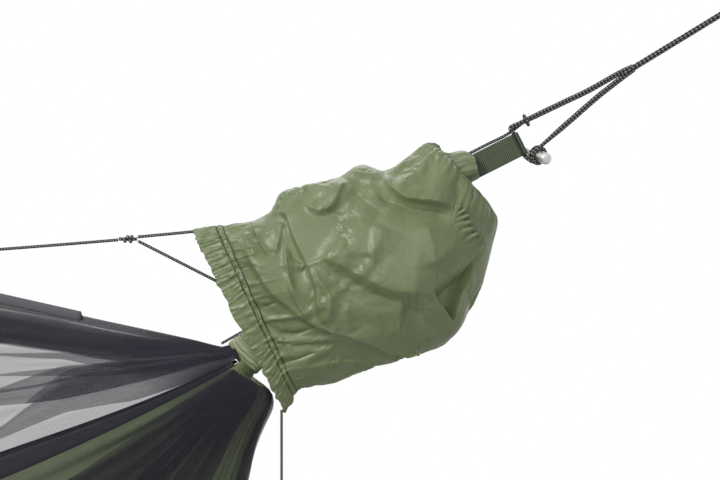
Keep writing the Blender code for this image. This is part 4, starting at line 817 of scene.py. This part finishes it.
def tape_finish(name, dark, light):
    """Narrow twill tape, with its lines across on the slant."""
    made, tree, shader = finish_named(name, Roughness=0.85, Specular_IOR_Level=0.3, Sheen_Weight=0.1)
    place = add(tree, "SeparateXYZ", {0: (add(tree, "TexCoord"), "UV")})
    twill = add(tree, "Math", {0: (place, "X"), 1: (place, "Y")}, operation="ADD")
    twill = add(tree, "Math", {0: twill, 1: 2 * pi / 0.0016}, operation="MULTIPLY")
    twill = add(tree, "MapRange", {0: add(tree, "Math", {0: twill}, operation="SINE"), 1: -1.0, 2: 1.0})
    tone = add(tree, "Mix", {0: twill, 6: linear(dark), 7: linear(light)}, data_type="RGBA")
    tree.links.new(tone.outputs[2], shader.inputs["Base Color"])
    bump = add(tree, "Bump", {"Strength": 0.4, "Distance": 0.0002, "Height": twill})
    tree.links.new(bump.outputs[0], shader.inputs["Normal"])
    return made


tape_weave = tape_finish("woven_polyester_tape", "19191b", "353539")
ridge_weave = tape_finish("light_woven_polyester_binding", "47484d", "6b6d72")


def tape(name, rows, weave=tape_weave):
    rows = both_ways(rows)
    made = make(f"{name}_weave", [(rows, pattern(rows), False, False)], weave, "hammock", replaces=[name],
                slot="black_tape", solidify=0.0009)
    return made


for name, side, panel in (("front_zip_tape", -1, "bed_front_panel_cloth"), ("back_edge_tape", 1, "bed_back_panel_cloth")):
    half_angle = edge_arc(side)[3]
    tape(name, [[edge_point(side, half_angle * (1 - w), inset)
                 for inset in np.linspace(0.0003, tape_width(side, w), 5)] for w in shares(30, 50)])
rows = []
for w in (RIDGE_TAPE_FROM, *(w for w in shares(20, 60) if w > RIDGE_TAPE_FROM + 0.005)):
    width = np.linalg.norm(net_points(-1, w, 1.0) - net_points(-1, w, 0.0))
    row = []
    for side, reach_share in ((-1, 1), (-1, 0.5), (0, 0), (1, 0.5), (1, 1)):
        v = reach_share * 0.008 / width
        slope = unit(net_points(-1 if side == 0 else side, w, v + 0.02) - net_points(-1 if side == 0 else side, w, v))
        out = unit(np.cross(slope, X))
        out = Z if side == 0 else out * (1 if out[2] > 0 else -1)
        row.append(net_top(w) + 0.0036 * Z if side == 0 else net_points(side, w, v) + 0.0021 * out)
    rows.append(row)
tape("net_ridge_tape", rows, ridge_weave)

# Entry zip on the front edge: moulded nylon coil, steel end stops and slider, woven pull.
zip_plastic, tree, shader = finish_named("moulded_nylon_coil", Roughness=0.55, Specular_IOR_Level=0.45)
grain = add(tree, "TexNoise", {"Scale": 900.0, "Detail": 2.0})
tone = add(tree, "Mix", {0: grain, 6: linear("1c1c1e"), 7: linear("2e2e31")}, data_type="RGBA")
tree.links.new(tone.outputs[2], shader.inputs["Base Color"])
for node, finish, slot in (("zip_coil", zip_plastic, "zip_nylon"), ("near_zip_stop", steel, "polished_steel"),
                           ("far_zip_stop", steel, "polished_steel"), ("zip_slider", steel, "polished_steel"),
                           ("zip_pull", tape_weave, "black_tape")):
    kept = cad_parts[node]
    kept.data.materials.clear()
    kept.data.materials.append(finish)

# Stow sleeve: a tube of the bed's nylon with an elastic hem at each end, pushed up over the
# webbing. Its mouth is shirred by the elastic under two rows of stitching, and it hangs in folds.
SECTIONS = ((0.00, (193, 230), (285, 412), 31), (0.05, (206, 227), (290, 405), 32), (0.12, (223, 224), (298, 391), 36),
            (0.20, (250, 221), (314, 386), 41), (0.26, (267, 214), (332, 385), 44), (0.34, (280, 196), (352, 376), 48),
            (0.45, (305, 184), (380, 367), 51), (0.57, (338, 178), (418, 358), 52), (0.67, (362, 172), (446, 347), 51),
            (0.76, (384, 176), (466, 325), 48), (0.84, (402, 164), (477, 288), 43), (0.90, (417, 152), (489, 247), 36),
            (0.945, (427, 146), (493, 216), 28), (0.975, (433, 146), (478, 199), 20), (1.00, (437, 148), (450, 198), 14))
ROUND, LONG = 160, 120      # points of the slack cloth
FINER_ROUND, FINER_LONG = 4, 3


def between(table, share):
    """Smooth value between a table's rows, whose first number is the share."""
    marks = np.array([row[0] for row in table])
    values = np.array([row[1] for row in table], float)
    slopes = np.gradient(values, marks, axis=0)
    k = int(np.clip(np.searchsorted(marks, share, side="right") - 1, 0, len(marks) - 2))
    width = marks[k + 1] - marks[k]
    t = (share - marks[k]) / width
    return ((2 * t ** 3 - 3 * t ** 2 + 1) * values[k] + (t ** 3 - 2 * t ** 2 + t) * width * slopes[k]
            + (-2 * t ** 3 + 3 * t ** 2) * values[k + 1] + (t ** 3 - t ** 2) * width * slopes[k + 1])


def tube_between(sections, marks, count, ruffle=None):
    """A tube as rows of points; a section gives its top and bottom as seen, and its half depth in mm."""
    outline = [(s, (*seen(*top), *seen(*bottom), deep / 1000)) for s, top, bottom, deep in sections]
    turns = 2 * pi * np.arange(count) / count
    rows = []
    for share in marks:
        values = between(outline, share)
        top, bottom, deep = values[:3], values[3:6], values[6]
        size = 1 if ruffle is None else ruffle(share, turns)
        high = np.sign(np.cos(turns)) * np.abs(np.cos(turns)) ** 0.9 * size
        rows.append((top + bottom) / 2 + high[:, None] * (top - bottom) / 2 - (deep * size * np.sin(turns))[:, None] * Y)
    return np.array(rows)


def finer(rows, times, axis, wrap):
    """More rows or columns between those of a grid, on smooth curves."""
    rows = np.moveaxis(rows, axis, 0)
    if wrap:
        ends = np.concatenate([rows[-1:], rows, rows[:2]])
    else:
        ends = np.concatenate([2 * rows[:1] - rows[1:2], rows, 2 * rows[-1:] - rows[-2:-1]])
    before, a, b, after = (part[:, None] for part in (ends[:-3], ends[1:-2], ends[2:-1], ends[3:]))
    t = (np.arange(times) / times).reshape(1, -1, 1, 1)
    fine = 0.5 * (2 * a + (b - before) * t + (2 * before - 5 * a + 4 * b - after) * t ** 2
                  + (3 * a - before - 3 * b + after) * t ** 3)
    fine = fine.reshape(-1, *rows.shape[1:])
    return np.moveaxis(fine if wrap else np.concatenate([fine, rows[-1:]]), 0, axis)


def crumple(rows, scale, seed):
    """Sharp-edged unevenness of crumpled cloth, one number for each point."""
    values = []
    for point in rows.reshape(-1, 3) * scale:
        place = Vector(point) + Vector((seed, 2 * seed, 3 * seed))
        values.append(1 - 2 * abs(noise.noise(place + noise.noise_vector(place * 0.7) * 0.8)))
    return np.array(values).reshape(rows.shape[:2])


def outward(rows):
    """Unit directions out of a tube."""
    normals = np.cross(np.roll(rows, -1, 1) - np.roll(rows, 1, 1), np.gradient(rows, axis=0))
    normals /= np.linalg.norm(normals, axis=2, keepdims=True)
    return normals * np.sign(((rows - rows.mean(1, keepdims=True)) * normals).sum())


def settled(rows, spare, furthest, frames=16):
    """Cloth a little larger than the shape it is held to, so that it buckles into small folds."""
    count = rows.shape[1]
    faces = [(i * count + j, i * count + (j + 1) % count, (i + 1) * count + (j + 1) % count, (i + 1) * count + j)
             for i in range(len(rows) - 1) for j in range(count)]
    mesh = bpy.data.meshes.new("slack_cloth")
    mesh.from_pydata(rows.reshape(-1, 3).tolist(), [], faces)
    made = bpy.data.objects.new("slack_cloth", mesh)
    scene.collection.objects.link(made)
    held = made.vertex_groups.new(name="held")
    for i in range(len(rows)):
        share = i / (len(rows) - 1)
        hold = 1.0 if share < 0.10 or share > 0.95 else 0.05
        held.add(list(range(i * count, (i + 1) * count)), hold, "REPLACE")
    cloth = made.modifiers.new("slack", "CLOTH")
    cloth.settings.quality = 4
    cloth.settings.mass = 0.10
    cloth.settings.tension_stiffness = cloth.settings.compression_stiffness = 12
    cloth.settings.shear_stiffness = 4
    cloth.settings.bending_stiffness = 0.8
    cloth.settings.shrink_min = -spare
    cloth.settings.vertex_group_mass = "held"
    cloth.settings.pin_stiffness = 0.4
    cloth.settings.effector_weights.gravity = 0
    cloth.collision_settings.use_collision = False
    for frame_number in range(1, frames + 1):
        scene.frame_set(frame_number)
    shape = made.evaluated_get(bpy.context.evaluated_depsgraph_get()).data
    moved = np.empty(3 * rows.shape[0] * count)
    shape.vertices.foreach_get("co", moved)
    moved = moved.reshape(rows.shape) - rows
    bpy.data.objects.remove(made)
    scene.frame_set(1)
    far = np.linalg.norm(moved, axis=2, keepdims=True)
    return rows + moved * np.minimum(1, furthest / np.maximum(far, 1e-9))


def from_line(points, line, depth=0.045):
    """Signed distance of points from a line drawn on the sleeve as it is seen, and the nearest share of the line."""
    line = smooth_through([seen(*p, depth) for p in line], 0.006)[:, [0, 2]]
    flat = points[:, [0, 2]]
    best, share, sign = np.full(len(flat), 9.0), np.zeros(len(flat)), np.ones(len(flat))
    for k, (a, b) in enumerate(zip(line, line[1:])):
        step = b - a
        t = np.clip((flat - a) @ step / (step @ step), 0, 1)
        off = flat - (a + t[:, None] * step)
        far = (off ** 2).sum(1)
        closer = far < best
        best[closer], share[closer] = far[closer], ((k + t) / (len(line) - 1))[closer]
        sign[closer] = np.where(step[0] * off[:, 1] - step[1] * off[:, 0] > 0, 1, -1)[closer]
    return np.sqrt(best) * sign, share


def fold_on(points, line, height, wide_left, wide_right, ripples=0):
    """Height of a fold along a line, in mm; its left and right sides fall off at their own widths."""
    far, share = from_line(points, line)
    ends = ramp(share, 0, 0.18) * (1 - ramp(share, 0.82, 1))
    width = np.where(far > 0, wide_left, wide_right) / 1000
    rippled = 1 + 0.6 * np.sin(2 * pi * ripples * share) if ripples else 1
    return height * ends * rippled * np.exp(-(np.abs(far) / width) ** 1.25)


marks = np.linspace(0, 1, LONG)
body = tube_between(SECTIONS, marks, ROUND)
slack = body + outward(body) * (0.0010 * crumple(body, 12, 3.1) * ramp(marks, 0.10, 0.25)[:, None])[..., None]
slack = settled(slack, 0.025, 0.0045)
body, slack = (finer(finer(shape, FINER_LONG, 0, False), FINER_ROUND, 1, True) for shape in (body, slack))
marks = np.linspace(0, 1, len(body))[:, None]
turns = 2 * pi * np.arange(body.shape[1]) / body.shape[1]
normals = outward(body)

# Folds of the sleeve as it is seen: a line, its height, and how wide its left and right sides are
FOLDS = (
    (((269, 215), (276, 212), (283, 213), (289, 220), (293, 231), (299, 245), (307, 260), (314, 276), (319, 294), (318, 322)),
     9, 34, 2.5, 0),
    (((283, 216), (285, 235), (287, 258), (291, 280), (300, 303), (314, 322)), 4.5, 5, 4, 0),
    (((281, 222), (279, 240), (275, 256)), 4, 3, 6, 0),
    (((310, 263), (322, 280), (331, 295), (330, 310), (322, 323)), 5, 7, 5, 0),
    (((236, 240), (246, 252), (257, 270), (272, 290), (295, 310), (316, 324), (340, 331), (360, 337), (377, 347), (400, 356),
      (424, 358)), 7, 26, 2.5, 0),
    (((316, 246), (322, 250), (340, 262), (362, 275), (392, 288), (434, 292)), 11, 34, 10, 0),
    (((338, 270), (362, 286), (395, 300), (428, 305)), -5, 7, 14, 0),
    (((342, 182), (357, 176), (377, 182), (392, 191), (405, 199), (430, 203), (456, 208)), 9, 30, 2.5, 0),
    (((372, 192), (392, 201), (410, 209), (432, 213), (450, 217)), -4, 4, 9, 0),
    (((346, 180), (339, 196), (330, 208), (318, 210), (302, 206)), 5, 2.5, 20, 0),
    (((350, 188), (368, 204), (386, 216)), -5, 13, 13, 0),
    (((448, 206), (458, 208), (464, 216), (468, 228), (476, 236), (488, 242)), 5, 4, 6, 9),
    (((402, 296), (398, 318), (404, 342)), 4, 10, 8, 0),
    (((430, 300), (424, 318), (436, 340)), 4, 9, 9, 0),
    (((350, 296), (346, 314), (352, 330)), 3, 9, 8, 0),
    (((262, 308), (268, 305), (277, 301)), -2.5, 1.5, 1.5, 0),
    (((279, 333), (292, 335), (305, 331), (318, 324)), -4, 5, 1.6, 0),
    (((275, 368), (290, 363), (305, 358), (318, 353)), -3, 3, 1.5, 0),
    (((251, 227), (258, 240), (266, 252), (272, 259)), -4, 4, 3, 0),
    (((243, 232), (249, 246), (258, 259)), 3, 4, 4, 0),
    (((424, 222), (430, 245), (434, 268)), 4, 12, 12, 0),
    (((384, 226), (376, 244), (366, 258)), 3.5, 12, 10, 0),
)
POCKET = ((432, 290), (486, 246), (459, 328))   # pressed-in corner between two folds
seen_side = normals[..., 1] < 0
points = body[seen_side]
height = np.zeros(len(points))
for fold in FOLDS:
    height += fold_on(points, *fold)
upper, lower, rim = (from_line(points, (POCKET[a], POCKET[b]))[0] for a, b in ((0, 1), (2, 0), (1, 2)))
height -= 15 * ramp(-upper, 0, 0.018) * ramp(-lower, 0, 0.003) * ramp(-rim, 0.001, 0.004)
lift = np.zeros(body.shape[:2])
lift[seen_side] = height / 1000 * ramp(-normals[..., 1][seen_side], 0.0, 0.3)
lift += lift[:, ::-1] * 0.7         # the back has folds of the same kind

HEM = 0.118
rng = np.random.default_rng(5)
hem_rows = int(0.32 * len(marks))
PUCKERS = 150
for k in range(PUCKERS):
    off = turns[None] - 2 * pi * (k + rng.uniform(-0.4, 0.4)) / PUCKERS - rng.uniform(-0.5, 0.5) * marks[:hem_rows]
    off = (off + pi) % (2 * pi) - pi
    length = HEM * (rng.uniform(0.9, 1.25) if k % 4 else rng.uniform(1.3, 2.4))
    fade = 1 - ramp(marks[:hem_rows], 0.55 * length, length)
    beat = 0.7 + 0.3 * np.sin(2 * pi * (marks[:hem_rows] * rng.uniform(12, 22) + rng.uniform(0, 1)))
    lift[:hem_rows] += rng.uniform(0.0008, 0.0019) * np.exp(-(off / rng.uniform(0.011, 0.018)) ** 2) * fade * beat
lift -= 0.0016 * (1 - ramp(marks, HEM, 1.5 * HEM))
for k in range(46):
    off = (turns[None] - 2 * pi * (k + rng.uniform(-0.3, 0.3)) / 46 + pi) % (2 * pi) - pi
    lift += rng.uniform(0.0008, 0.0020) * np.exp(-(off / 0.045) ** 2) * ramp(marks, 0.90 - 0.08 * rng.uniform(), 0.98)
STITCHED = (0.093, 0.119)
for row in STITCHED:
    lift -= 0.0010 * np.exp(-((marks - row) / 0.0045) ** 2)
body = slack + normals * lift[..., None]
edge_waves = np.array([noise.noise(Vector((14 * cos(t), 14 * sin(t), 0.5))) for t in turns])
body += (0.0022 * edge_waves * (1 - ramp(marks, 0, 0.06)))[..., None] * WEB_DOWN

FLAP = ((0.0, (437, 148), (450, 198), 14), (0.12, (440, 151), (449, 194), 13.5), (0.45, (450, 154), (457, 191), 15),
        (0.8, (464, 151), (469, 184), 14), (1.0, (474, 156), (479, 178), 12.5))


def ruffled(share, turns):
    wave = np.array([noise.noise(Vector((3 * cos(t), 3 * sin(t), 2.0 * share + 5))) for t in turns])
    return 1 + 0.16 * wave * share ** 0.5 + 0.05 * np.sin(23 * turns) * (1 - share)


flap = tube_between(FLAP, np.linspace(0, 1, 40)[1:], body.shape[1], ruffled)
body = np.concatenate([body, flap])
sleeve = make("stow_sleeve_cloth", [(body, pattern(body, True), True, False)], taffeta, "sleeve",
              replaces=["stow_sleeve", "sleeve_mouth_hem", "sleeve_neck_hem"], slot="green_nylon", solidify=0.0007)

# Stitching of both hems: black thread, a stitch every 3.4 mm, sunk a little into the cloth.
thread, tree, shader = finish_named("bonded_nylon_thread", Roughness=0.6)
shader.inputs["Base Color"].default_value = linear("141612")
twist = add(tree, "TexWave", {"Scale": 900.0, "Distortion": 1.0})
tree.links.new(add(tree, "Bump", {"Strength": 0.3, "Distance": 0.0001, "Height": twist}).outputs[0], shader.inputs["Normal"])
STITCH, THREAD = 0.0034, 0.0010
stitches = []
for row in (*STITCHED, 0.975, 0.995):
    ring = body[int(round(row * (len(marks) - 1)))]
    ring = smooth_through(list(ring[::4]) + [ring[0]], 0.0006)
    middle = ring.mean(0)
    step = int(round(STITCH / 0.0006))
    for k in range(0, len(ring) - step, step):
        part = ring[k:k + step]
        out = part - middle
        out /= np.linalg.norm(out, axis=1, keepdims=True)
        hump = np.sin(np.linspace(0, pi, len(part)))[:, None] * 0.0003 + 0.0005
        stitches.append(plain_tube(part + out * hump, THREAD, 6))
make("sleeve_stitching", stitches, thread, "sleeve", slot="black_tape")
